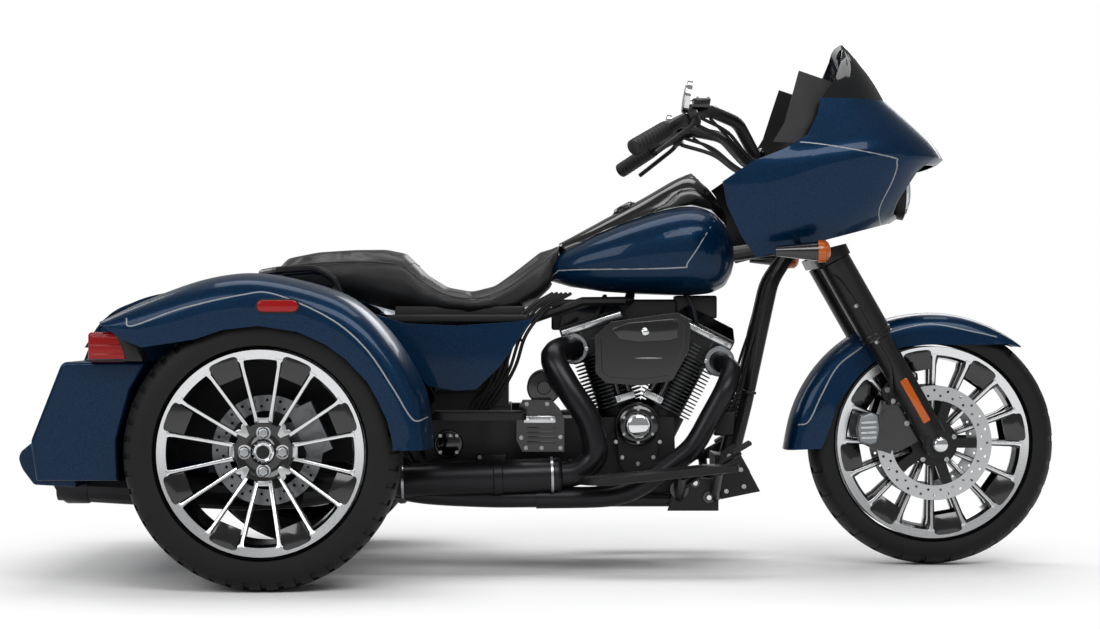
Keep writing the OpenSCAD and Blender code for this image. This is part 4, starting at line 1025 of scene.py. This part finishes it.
# %% Header shields and clamps
CAN = Vector((0.006, -0.222, 0.247))
shield = tube([(0.036, -0.078, 0.562), (0.004, -0.130, 0.560), (-0.016, -0.180, 0.536), (0.018, -0.205, 0.470),
               (0.068, -0.213, 0.392), (0.088, -0.215, 0.330), (0.082, -0.215, 0.285), (0.040, -0.217, 0.252),
               (-0.020, -0.219, 0.246)], 0.033, 7, 4)
for piece, name in (
        (shield, "rear_header_shield"),
        (turned([(0.030, 0.0), (0.040, 0.004), (0.043, 0.012), (0.043, 0.150), (0.0455, 0.152), (0.0455, 0.172),
                 (0.043, 0.174), (0.043, 0.400), (0.038, 0.425), (0.034, 0.440)], CAN, (-1, -0.03, -0.035), 40),
         "header_can"),
        (tube([(0.412, -0.078, 0.530), (0.420, -0.112, 0.524), (0.436, -0.150, 0.505), (0.420, -0.182, 0.462),
               (0.382, -0.187, 0.392), (0.340, -0.190, 0.320), (0.290, -0.197, 0.276), (0.240, -0.204, 0.240),
               (0.190, -0.208, 0.212), (0.150, -0.210, 0.197), (0.090, -0.212, 0.190), (-0.060, -0.216, 0.188)],
              0.027, 6, 4), "front_header_shield"),
        (tube([(-0.060, -0.216, 0.188), (-0.180, -0.217, 0.188), (-0.330, -0.222, 0.196), (-0.420, -0.228, 0.212),
               (-0.455, -0.233, 0.222)], 0.024, 6, 4), "lower_pipe"),
        (tube([(-0.390, -0.218, 0.204), (-0.400, -0.170, 0.188), (-0.402, 0.0, 0.184), (-0.402, 0.165, 0.188),
               (-0.425, 0.222, 0.214), (-0.470, 0.235, 0.225)], 0.019, 6, 3), "crossover_pipe")):
    finished(piece, name, "chassis", heat_black, 50)
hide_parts("exhaust_headers")


def ring_at(centre, axis, inside, outside, half, steps):
    low, high = (inside, half), (outside, half - 0.001)
    return turned([(low[0], -low[1]), (high[0], -high[1]), high, low], centre, axis, steps)


finished(joined([ring_at((x, CAN.y - 0.03 * (CAN.x - x), CAN.z - 0.035 * (CAN.x - x)), (1, 0.03, 0.035), 0.0445,
                         0.0465, 0.004, 40) for x in (-0.020, -0.395)]), "can_clamps", "chassis", zinc)
for x, z, name in ((0.036, 0.562, "rear"), (0.412, 0.530, "front")):
    finished(turned([(0.026, 0.010), (0.037, 0.009), (0.040, 0.004), (0.040, -0.003)], (x, -0.0785, z), OUTWARD),
             f"port_flange_{name}", "chassis", cast_grey)
    fasteners(f"port_nuts_{name}", upright(-0.0870, (x - 0.034, z), (x + 0.034, z)), OUTWARD, 0.6, kind=nut)

# %% [markdown]
# ## Lamps
# A lamp is a coloured lens over a dark housing, with a gasket round it. The signal pods are black shells with an amber
# cap at the front, the side markers are long red ovals in a rubber ring, and the two headlamps sit deep in the nose
# behind clear domes. Each lens is turned or plated just proud of its solid.

# %% Signals, markers, tail lamps and headlamps
def oval_outline(centre, length, height, count=10, along=(1, 0, 0), up=(0, 0, 1)):
    centre, along, up, r = Vector(centre), Vector(along), Vector(up), height / 2
    points = []
    for end in (1, -1):
        for k in range(count + 1):
            a = math.radians(90 * end - 180 * k / count)
            points.append(centre + along * (end * (length / 2 - r) + r * math.cos(a)) + up * r * math.sin(a))
    return points


for s, hand in SIDES:
    finished(turned([(0.0, 0.012), (0.012, 0.011), (0.022, 0.006), (0.0275, -0.002), (0.0275, -0.020)],
                    (0.654, s * 0.345, 0.806), (1, 0, 0)), f"signal_lens_{hand}", "chassis", amber_lens)
    marker = finished(plate(oval_outline((-0.6575, s * 0.6903, 0.669), 0.095, 0.027), (0, s * 0.005, 0), 0.003, 3),
                      f"marker_lens_{hand}", "chassis", red_lens)
    if hand == "right":
        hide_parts("marker_lamps")
    finished(plate(oval_outline((-0.6575, s * 0.6900, 0.669), 0.103, 0.034), (0, s * 0.002, 0)),
             f"marker_gasket_{hand}", "chassis", rubber)
    for k, z in enumerate((0.552, 0.573, 0.594)):
        finished(plate(upright(s * 0.6498, *oblong(-1.098, -1.024, z, z + 0.006)), (0, s * 0.002, 0)),
                 f"tail_rib_{k}_{hand}", "chassis", red_lens)
    finished(plate(upright(s * 0.475, *oblong(-1.108, -1.012, 0.5395, 0.546)), (0, s * 0.178, 0), 0.002),
             f"tail_sill_{hand}", "chassis", satin_black)
    finished(plate(upright(s * 0.560, (-1.040, 0.604), (-1.008, 0.604), (-0.975, 0.540), (-1.012, 0.540)),
                   (0, s * 0.0925, 0), 0.002), f"tail_bezel_{hand}", "chassis", satin_black)
    nose = Vector((0.8795, s * 0.110, 0.962))
    finished(turned([(0.0, 0.020), (0.030, 0.017), (0.052, 0.010), (0.066, 0.001), (0.069, -0.006)], nose,
                    (1, 0, 0), 40), f"headlamp_lens_{hand}", "chassis", clear_lens)
    finished(turned([(0.0, 0.003), (0.018, 0.004), (0.024, 0.001), (0.034, 0.003), (0.060, 0.006), (0.062, 0.001)],
                    nose, (1, 0, 0), 40), f"headlamp_bowl_{hand}", "chassis", chrome)
    finished(plate(oval_outline(nose + Vector((0.002, 0, -0.050)), 0.07, 0.010, 6, (0, 1, 0)), (0.004, 0, 0)),
             f"headlamp_bar_{hand}", "chassis", amber_lens)

# %% [markdown]
# ## Fork, yokes and bars
# The front end is black tube and casting, told apart by small parts: caps on the fork tubes, clamps on the risers,
# ribs on the grips, buttons on the switch pods, brake lines clipped to the legs and an amber reflector on each slider.
# Everything here turns with the fork, so it rides on the steering body.

# %% Fork details
STEER_UP, RAKE = Vector((-0.438371, 0.0, 0.898794)), math.radians(29.5)
LEG, LEG_SIDE = Vector((-math.sin(RAKE), 0, math.cos(RAKE))), Vector((math.cos(RAKE), 0, math.sin(RAKE)))


def leg(z, y):
    return Vector((FRONT_AXLE.x - (z - FRONT_AXLE.z) * math.tan(RAKE), y, z))


for s, hand in SIDES:
    reflector = framed(leg(0.431, s * 0.1596), LEG, LEG_SIDE, *oblong(-0.062, 0.062, -0.010, 0.010))
    finished(plate(reflector, (0, s * 0.004, 0), 0.002), f"fork_reflector_{hand}", "steering", amber_lens)
    finished(turned([(0.0, 0.012), (0.012, 0.012), (0.016, 0.009), (0.026, 0.008), (0.028, 0.0)],
                    leg(0.940, s * 0.127) + STEER_UP * 0.0131, STEER_UP), f"fork_cap_{hand}", "steering", chrome)
    for k, z in enumerate((0.592, 0.604)):
        finished(ring_at(leg(z, s * 0.127), LEG, 0.0405, 0.0428, 0.003, 36), f"shroud_ring_{k}_{hand}", "steering",
                 gloss_black)
    finished(tube([(0.665, s * 0.060, 0.775), (0.700, s * 0.165, 0.745), (0.752, s * 0.178, 0.672),
                   (0.805, s * 0.168, 0.580), (0.838, s * 0.165, 0.520), (0.846, s * 0.150, 0.470),
                   (0.846, s * 0.110, 0.420)], 0.0042, 7), f"brake_line_{hand}", "steering", rubber)
    finished(joined([ring_at(place, (0.5, 0, -0.85), 0.0045, 0.0062, 0.005, 16)
                     for place in ((0.752, s * 0.178, 0.672), (0.805, s * 0.168, 0.580))]), f"line_clips_{hand}",
             "steering", zinc)
    finished(plate(upright(s * 0.070, (0.771, 0.322), (0.799, 0.314), (0.817, 0.320), (0.825, 0.356), (0.821, 0.392),
                           (0.801, 0.400), (0.773, 0.390), (0.765, 0.356)), (0, s * 0.034, 0), 0.006, 3),
             f"caliper_block_{hand}", "steering", cast_grey)
    finished(joined([plate(upright(s * 0.102, (0.775, z), (0.815, z + 0.002), (0.815, z + 0.007),
                                   (0.775, z + 0.005)), (0, s * 0.0045, 0)) for z in (0.330, 0.343, 0.356, 0.369)]),
             f"caliper_ribs_{hand}", "steering", machined)
    finished(plate(upright(s * 0.0875, (0.902, 0.508), (0.922, 0.500), (0.924, 0.482), (0.880, 0.436), (0.862, 0.412),
                           (0.840, 0.420), (0.828, 0.455), (0.842, 0.474)), (0, s * 0.006, 0), 0.003, 3),
             f"fender_bracket_{hand}", "steering", satin_black)
    fasteners(f"caliper_screws_{hand}", upright(s * 0.0945, (0.909, 0.494), (0.844, 0.457), (0.858, 0.428),
                                                (0.894, 0.371), (0.836, 0.330), (0.842, 0.396)), (0, s, 0), 1.2,
              "steering")
    fasteners(f"fender_screw_{hand}", [leg(0.560, 0) - LEG * 0.008 + Vector((0, s * 0.0832, 0))], (0, s, 0),
              body="steering")
finished(turned([(0.0, 0.020), (0.010, 0.019), (0.015, 0.014), (0.017, 0.004), (0.024, 0.003), (0.024, 0.0)],
                Vector((0.60276995, 0, 0.970)) - STEER_UP * 0.001, STEER_UP), "stem_nut", "steering", chrome)

# %% Bars, pods, grips, mirrors and cables
BAR_A, BAR_B, POD_A = Vector((0.285, 0.335, 1.122)), Vector((0.179, 0.430, 1.056)), Vector((0.365, 0.318, 1.157))
MIRROR_LOOK, MIRROR_HIGH = Vector((-0.985, 0, 0.174)), Vector((0.174, 0, 0.985))
for s, hand in SIDES:
    hold, tip, pod = (Vector((p.x, s * p.y, p.z)) for p in (BAR_A, BAR_B, POD_A))
    along = (tip - hold).normalized()
    finished(joined([ring_at(hold.lerp(tip, 0.30 + 0.08 * k), along, 0.0200, 0.0208, 0.0035, 24)
                     for k in range(9)]), f"grip_ribs_{hand}", "steering", rubber)
    finished(turned([(0.0, 0.004), (0.014, 0.003), (0.019, 0.0), (0.0205, -0.004)], hold.lerp(tip, 1.025), along,
                    24), f"grip_end_{hand}", "steering", rubber)
    lean = (hold - pod).normalized()
    back = Vector((-0.75, 0, 0.66))
    back = (back - lean * back.dot(lean)).normalized()
    mid = pod.lerp(hold, 0.5)
    buttons = []
    for a, b in ((-0.008, -0.25), (0.004, -0.25), (-0.008, 0.2), (0.004, 0.2), (-0.002, 0.6)):
        out = back.lerp(lean.cross(back), b)
        buttons.append(turned([(0.0, 0.004), (0.004, 0.004), (0.0052, 0.002), (0.0052, -0.004)],
                              mid + lean * a + out.normalized() * 0.0262, out, 14))
    finished(joined(buttons), f"switch_buttons_{hand}", "steering", moulded_black)
    finished(turned([(0.0258, -0.0125), (0.0272, -0.0115), (0.0272, -0.0090), (0.0258, -0.0080)], mid, lean, 28),
             f"pod_seam_{hand}", "steering", gloss_black)
    cap = mid + Vector((0.020, s * 0.004, 0.020))
    finished(plate(framed(cap, Vector((1, 0, 0)), Vector((0, 1, 0)), *oblong(-0.020, 0.022, -0.026, 0.026)),
                   (0.004, 0, 0.024), 0.004, 3), f"reservoir_{hand}", "steering", gloss_black)
    fasteners(f"reservoir_screws_{hand}", [cap + Vector((0.005 + a, b, 0.0242)) for a in (-0.012, 0.014)
                                           for b in (-0.018, 0.018)], (0.16, 0, 0.98), 0.5, "steering")
    centre = Vector((0.307, s * 0.420, 1.174)) + MIRROR_LOOK * 0.0062
    glass = []
    for k in range(28):
        a = 2 * math.pi * k / 28
        u, v = 0.001 + 0.034 * math.cos(a), s * 0.001 + 0.054 * math.sin(a)
        glass.append(centre + MIRROR_HIGH * (u + 0.14 * v) + Vector((0, -s * v, 0)))
    finished(plate(glass, MIRROR_LOOK * 0.0016, 0.0006), f"mirror_glass_{hand}", "steering", chrome)
    for k, (start, r) in enumerate((((0.350, s * 0.318, 1.136), 0.0045), ((0.372, s * 0.312, 1.136), 0.0038),
                                    ((0.340, s * 0.322, 1.118), 0.0055))):
        finished(tube([start, (0.420, s * (0.262 - 0.012 * k), 1.105 - 0.010 * k),
                       (0.475, s * (0.190 - 0.018 * k), 1.052 - 0.008 * k), (0.545, s * (0.112 - 0.014 * k), 1.000),
                       (0.596, s * (0.072 - 0.010 * k), 0.955 + 0.010 * k)], r, 7), f"bar_cable_{k}_{hand}",
                 "steering", rubber)
    clamp = Vector((0.512, s * 0.050, 1.054))
    finished(turned([(0.0175, -0.022), (0.0225, -0.021), (0.0235, -0.019), (0.0235, 0.019), (0.0225, 0.021),
                     (0.0175, 0.022)], clamp, (0, 1, 0), 28), f"bar_clamp_{hand}", "steering", gloss_black)
    fasteners(f"clamp_screws_{hand}", [clamp + Vector((a, b, 0.0215)) for a in (-0.010, 0.010)
                                       for b in (-0.012, 0.012)], (0, 0, 1), 0.8, "steering", chrome)
print("front end dressed")

# %% [markdown]
# ## Gauges and console
# The rider sees two large dials and two small ones. A dial is a black disc in a bright bezel with short white strokes
# and a red pointer; it carries strokes only. The console on the tank carries a turned fuel cap.

# %% Dials and fuel cap
white_print = finish("white_dial_print", "#d9dcdc", 0.0, 0.5, 3.0, 0.002)
red_pointer = finish("red_dial_pointer", "#c21a12", 0.0, 0.4, 3.0, 0.002)
DIAL_UP, DIAL_HIGH = Vector((-0.899, 0, 0.438)).normalized(), Vector((0.438, 0, 0.899)).normalized()
STROKES, SWING = 13, 130


def on_dial(degrees):
    return DIAL_HIGH * math.cos(math.radians(degrees)) + Vector((0, 1, 0)) * math.sin(math.radians(degrees))


for k, (y, x, size, high) in enumerate(((-0.062, 0.7347, 0.046, 0.0241), (0.062, 0.7347, 0.046, 0.0241),
                                        (-0.152, 0.7134, 0.025, 0.0201), (0.152, 0.7134, 0.025, 0.0201))):
    face = Vector((x, y, 1.112)) + DIAL_UP * high
    finished(turned([(size - 0.001, 0.0005), (size + 0.001, 0.003), (size + 0.003, 0.002), (size + 0.0035, -0.004)],
                    face, DIAL_UP, 48), f"dial_bezel_{k}", "chassis", chrome)
    strokes = []
    for stroke in range(STROKES):
        out = on_dial(-SWING + 2 * SWING * stroke / (STROKES - 1))
        strokes.append(plate(framed(face, out * size, DIAL_UP.cross(out) * size * 0.018, (0.80, -1), (0.93, -1),
                                    (0.93, 1), (0.80, 1)), DIAL_UP * 0.0008, 0))
    finished(joined(strokes), f"dial_strokes_{k}", "chassis", white_print, 0)
    out = on_dial(-70 + 25 * k)
    finished(plate(framed(face + DIAL_UP * 0.0012, out * size, DIAL_UP.cross(out) * size * 0.03, (-0.12, -1),
                          (0.78, -0.3), (0.78, 0.3), (-0.12, 1)), DIAL_UP * 0.0008, 0),
             f"dial_pointer_{k}", "chassis", red_pointer, 0)
    finished(turned([(0.0, 0.0035), (size * 0.09, 0.003), (size * 0.11, 0.0)], face, DIAL_UP, 20), f"dial_boss_{k}",
             "chassis", moulded_black)

top, normal = skin("tank_console", (0.170, 0, 1.3), (0, 0, -1))
finished(turned([(0.0, 0.010), (0.022, 0.0095), (0.027, 0.007), (0.029, 0.003), (0.034, 0.002), (0.035, -0.006)],
                top, normal, 40), "fuel_cap", "chassis", gloss_black)
print("dials and console dressed")

# %% [markdown]
# ## Boards, pedals and the lower front
# Footboards carry a ribbed rubber pad, the pedals are bent rod with a rubber pad, and the round plates at the board's
# pivots are held by large screws. The finned box between the downtubes is the regulator.

# %% Board pads, pedals and pivots
BOARD, BOARD_TOP, BOARD_SLOPE = 0.2475, 0.2576, 0.0881
for s, hand in SIDES:
    pad = oval_outline((BOARD, s * 0.300, BOARD_TOP), 0.375, 0.084, 8, (0.9961, 0, 0.0878), (0, 1, 0))
    finished(plate(pad, Vector((-0.0878, 0, 0.9961)) * 0.005, 0.002), f"board_pad_{hand}", "chassis", rubber)
    ribs = []
    for x in (0.092 + 0.031 * k for k in range(11)):
        z = BOARD_TOP + (x - BOARD) * BOARD_SLOPE + 0.0045
        ribs.append(tube([(x, s * 0.270, z), (x, s * 0.300, z), (x, s * 0.330, z)], 0.0032, 0, 1))
    finished(joined(ribs), f"board_ribs_{hand}", "chassis", rubber)
    rear_pad = oval_outline((-0.205, s * 0.265, 0.4052), 0.225, 0.060, 8, (1, 0, 0), (0, 1, 0))
    finished(plate(rear_pad, (0, 0, 0.005), 0.002), f"rear_pad_{hand}", "chassis", rubber)
    for k, (x, z, r) in enumerate(((0.305, 0.205, 0.026), (0.380, 0.185, 0.016), (0.345, 0.222, 0.013))):
        finished(turned([(0.0, 0.010), (r * 0.55, 0.010), (r * 0.6, 0.006), (r * 0.92, 0.006), (r, 0.002),
                         (r, -0.002)], (x, s * 0.1522, z), (0, s, 0)), f"pivot_{k}_{hand}", "chassis", gloss_black)
        fasteners(f"pivot_screw_{k}_{hand}", upright(s * 0.1618, (x, z)), (0, s, 0), 1.1, material=chrome)
    fasteners(f"spoiler_screws_{hand}", upright(s * 0.1462, (0.432, 0.290), (0.462, 0.255), (0.470, 0.212),
                                                (0.425, 0.200)), (0, s, 0))
    finished(tube([(0.310, s * 0.163, 0.205), (0.330, s * 0.225, 0.230), (0.385, s * 0.262, 0.268),
                   (0.452, s * 0.268, 0.306)], 0.0065), f"pedal_arm_{hand}", "chassis", satin_black)
    finished(plate(framed(Vector((0.452, s * 0.268, 0.311)), Vector((1, 0, 0.6)), Vector((0, 1, 0)),
                          *oblong(-0.022, 0.026, -0.030, 0.030)), (-0.004, 0, 0.009), 0.003, 3),
             f"pedal_pad_{hand}", "chassis", rubber)


def crosswise(x, *points):
    return [Vector((x, y, z)) for y, z in points]


finished(joined([*(plate(crosswise(0.440, *oblong(-0.085, 0.085, z, z + 0.005)), (0.028, 0, 0))
                   for z in (0.345 + 0.012 * k for k in range(9))),
                 plate(crosswise(0.424, *oblong(-0.090, 0.090, 0.340, 0.452)), (0.018, 0, 0), 0.003)]),
         "regulator", "chassis", cast_black)
finished(plate(upright(-0.128, (0.395, 0.340), (0.448, 0.340), (0.452, 0.402), (0.400, 0.402)), (0, 0.036, 0), 0.005,
               3), "relay_box", "chassis", moulded_black)

# %% [markdown]
# ## Hoses and wires on the frame
# A bundle of black hoses and wires drops from under the tank to the gearbox, and more follow the downtubes. They are
# held at both ends and by ties, so they are fixed runs of the machine and not free cords.

# %% Fixed runs, starter cap and battery
HOSE_STEP = 0.012
runs = []
for k in range(5):
    d = HOSE_STEP * k
    runs.append(tube([(0.030 - d, -0.085 - 0.3 * d, 0.705), (-0.030 - d, -0.110 - d, 0.668),
                      (-0.085 - d, -0.128 - 0.4 * d, 0.600), (-0.112 - 1.4 * d, -0.124, 0.520 - d),
                      (-0.150 - 1.5 * d, -0.112, 0.450 - 0.6 * d), (-0.180 - d, -0.098, 0.410 - 0.3 * d)],
                     0.0046 - 0.0004 * (k % 3), 7, 1))
for s in (-1, 1):
    for radius, steps, course in (
            (0.005, 7, ((0.540, 0.112, 0.716), (0.508, 0.140, 0.600), (0.484, 0.138, 0.450), (0.452, 0.141, 0.320),
                        (0.430, 0.141, 0.230))),
            (0.004, 7, ((0.552, 0.100, 0.730), (0.490, 0.100, 0.560), (0.455, 0.104, 0.440), (0.430, 0.112, 0.390))),
            (0.005, 6, ((0.330, 0.052, 0.700), (0.345, 0.070, 0.672), (0.352, 0.074, 0.640), (0.358, 0.060, 0.618))),
            (0.005, 6, ((0.120, 0.052, 0.700), (0.105, 0.070, 0.672), (0.096, 0.074, 0.650), (0.090, 0.060, 0.632)))):
        runs.append(tube([(x, s * y, z) for x, y, z in course], radius, steps, 1))
finished(joined(runs), "hose_runs", "chassis", rubber)
finished(joined([ring_at(place, axis, 0.016, 0.019, 0.004, 20) for place, axis in (
    ((-0.113, -0.128, 0.592), (0.45, 0.1, 0.9)), ((0.484, -0.132, 0.452), (0.15, 0, 0.98)),
    ((0.484, 0.132, 0.452), (0.15, 0, 0.98)))]), "hose_ties", "chassis", satin_black)
finished(turned([(0.0, 0.012), (0.016, 0.012), (0.018, 0.009), (0.040, 0.008), (0.0425, 0.004), (0.044, -0.010)],
                (-0.040, -0.0885, 0.462), OUTWARD, 40), "starter_cap", "chassis", gloss_black)
finished(joined([plate(upright(-0.0942, *oblong(-0.318, -0.140, z, z + 0.012)), (0, -0.004, 0))
                 for z in (0.440, 0.475, 0.510, 0.545, 0.580)]), "battery_ribs", "chassis", moulded_black)

# %% [markdown]
# ## Left side: primary cover, belt and stand
# Power leaves the engine on the left, under a long cover with two round lids, and a toothed belt carries it to the
# pulley on the rear axle. The belt is a closed loop extruded to its width and thickened.

# %% Covers, belt, pulley and stand
for x, r, name in ((-0.140, 0.056, "clutch_lid"), (0.195, 0.040, "crank_lid")):
    spot = Vector((x, 0.1675, 0.300))
    finished(turned([(0.0, 0.007), (r - 0.010, 0.007), (r - 0.006, 0.005), (r, 0.004), (r + 0.002, -0.002)], spot,
                    (0, 1, 0), 48), name, "chassis", gloss_black)
    fasteners(f"{name}_screws", [around(spot, r - 0.004, a, 0.0045) for a in range(18, 378, 72)], (0, 1, 0), 0.7)
fasteners("primary_screws", upright(0.1512, (0.190, 0.399), (0.090, 0.392), (-0.020, 0.387), (-0.110, 0.382),
                                    (-0.230, 0.322), (-0.230, 0.278), (-0.110, 0.218), (-0.020, 0.213),
                                    (0.090, 0.208), (0.190, 0.201), (0.286, 0.330), (0.286, 0.270)), (0, 1, 0))
ARC_STEPS = 18
loop = [around((x, 0.1315, z), r, start + (end - start) * k / ARC_STEPS)
        for x, z, r, start, end in ((-0.210, 0.300, 0.040, 90, -90), (REAR_AXLE.x, REAR_AXLE.z, 0.1105, 270, 90))
        for k in range(ARC_STEPS + 1)]
belt = wire(loop + loop[:1])
edit_all(belt)
bpy.ops.mesh.remove_doubles(threshold=MERGE)
bpy.ops.mesh.extrude_region_move(TRANSFORM_OT_translate={"value": (0, 0.027, 0)})
bpy.ops.object.mode_set(mode="OBJECT")
wall = belt.modifiers.new("wall", "SOLIDIFY")
wall.thickness, wall.offset = 0.004, 0.0
finished(belt, "drive_belt", "chassis", rubber)
finished(turned([(0.012, 0.0005), (0.030, 0.0005), (0.037, 0.004), (0.037, 0.026), (0.030, 0.0295),
                 (0.012, 0.0295)], (-0.210, 0.130, 0.300), (0, 1, 0), 36), "front_pulley", "chassis", cast_grey)
finished(tube([(-0.050, 0.160, 0.175), (-0.020, 0.205, 0.168), (0.060, 0.235, 0.166), (0.170, 0.245, 0.166),
               (0.215, 0.262, 0.168)], 0.010), "side_stand", "chassis", satin_black)

# %% [markdown]
# ## Tail: lock, plate, reflectors, exhaust tips and wheel wells
# The back is plain painted panel, so its few fittings matter: a turned lock on the lid, a black holder with a bare pale
# plate and its small lamp, and two round reflectors. The exhaust ends in two tips cut aslant, the wheels turn in
# black liners, and an inner rail stands before the trunk on each side.

# %% Tail fittings
LID_OUT = Vector((-0.855, 0, 0.519)).normalized()
PANEL_OUT, PANEL_UP = Vector((-0.9315, 0, 0.3637)).normalized(), Vector((0.3637, 0, 0.9315)).normalized()
PANEL_MID = Vector((-1.2250, 0, 0.414))
TIP_HEIGHT, TIP_MID, TIP_SLANT = 0.233, -1.20, 0.024 / 0.045


def on_panel(out, *points):
    return framed(PANEL_MID + PANEL_OUT * out, Vector((0, 1, 0)), PANEL_UP, *points)


pale_plate = finish("blank_plate_enamel", "#cfd2d3", 0.0, 0.35, 2.0, 0.01)
finished(turned([(0.0, 0.006), (0.008, 0.006), (0.010, 0.004), (0.015, 0.003), (0.016, -0.002)],
                (-1.1530, 0, 0.6095), LID_OUT, 28), "lid_lock", "trunk_cover", chrome)
finished(plate(on_panel(0.0005, *oblong(-0.100, 0.100, -0.062, 0.062)), PANEL_OUT * 0.008, 0.003, 3),
         "plate_holder", "chassis", moulded_black)
finished(plate(on_panel(0.0086, *oblong(-0.092, 0.092, -0.054, 0.054)), PANEL_OUT * 0.0014, 0.0005),
         "bare_plate", "chassis", pale_plate)
fasteners("plate_screws", on_panel(0.0100, (-0.070, 0.040), (0.070, 0.040)), PANEL_OUT, 0.8)
finished(plate(on_panel(0.0005, (-0.040, 0.068), (0.040, 0.068), (0.034, 0.084), (-0.034, 0.084)),
               PANEL_OUT * 0.022, 0.003, 3), "plate_lamp", "chassis", gloss_black)
for s, hand in SIDES:
    finished(turned([(0.0, 0.006), (0.022, 0.005), (0.026, 0.002), (0.027, -0.001)],
                    on_panel(0.0005, (s * 0.250, -0.010))[0], PANEL_OUT), f"rear_reflector_{hand}", "chassis",
             red_lens)
    tip = turned([(0.0362, 0.0), (0.0362, 0.078), (0.0385, 0.080), (0.0435, 0.080), (0.0452, 0.077),
                  (0.0452, 0.004), (0.0440, 0.0), (0.0362, 0.0)], (-1.150, s * 0.385, TIP_HEIGHT), (-1, 0, 0), 40)
    for vertex in tip.data.vertices:
        if vertex.co.x < TIP_MID:
            vertex.co.x -= TIP_SLANT * (vertex.co.z - TIP_HEIGHT)
    finished(tip, f"exhaust_tip_{hand}", "chassis", heat_black)
    liner = [around((REAR_AXLE.x, s * 0.3302, 0.325), 0.275, a) for a in range(-8, 189, 14)]
    finished(plate(liner, (0, s * 0.004, 0), 0), f"wheel_well_{hand}", "chassis", moulded_black)
    finished(tube([(-0.545, s * 0.1772, 0.690), (-0.575, s * 0.182, 0.741), (-0.620, s * 0.185, 0.757),
                   (-0.700, s * 0.172, 0.752)], 0.0055), f"rail_inner_{hand}", "chassis", gloss_black)
print("tail dressed")

# %% [markdown]
# ## Black trays behind the engine and under the seat
# No daylight shows between tank and engine or under the seat: trays for coil and intake, one at the front of the engine
# and the pan and base of the seat fill those places. They are plain black mouldings, set back from what is seen.

# %% Trays
for name, x0, x1, y, z0, z1, material, bevel in (
        ("coil_tray", -0.020, 0.090, 0.040, 0.610, 0.690, cast_black, 0.006),
        ("intake_tray", 0.085, 0.305, 0.045, 0.600, 0.690, moulded_black, 0.006),
        ("front_tray", 0.300, 0.410, 0.038, 0.640, 0.700, cast_black, 0.006),
        ("seat_pan", -0.440, -0.080, 0.185, 0.630, 0.650, moulded_black, 0.004),
        ("seat_base", -0.420, -0.090, 0.150, 0.640, 0.672, moulded_black, 0.004)):
    finished(plate(upright(-y, *oblong(x0, x1, z0, z1)), (0, 2 * y, 0), bevel, 3), name, "chassis", material)
print("trays placed")

# %% [markdown]
# ## Remove the patterns
# The screw and the nut were patterns to copy from, so they go.

# %% Remove the patterns
for pattern in (screw, nut):
    bpy.data.objects.remove(pattern)
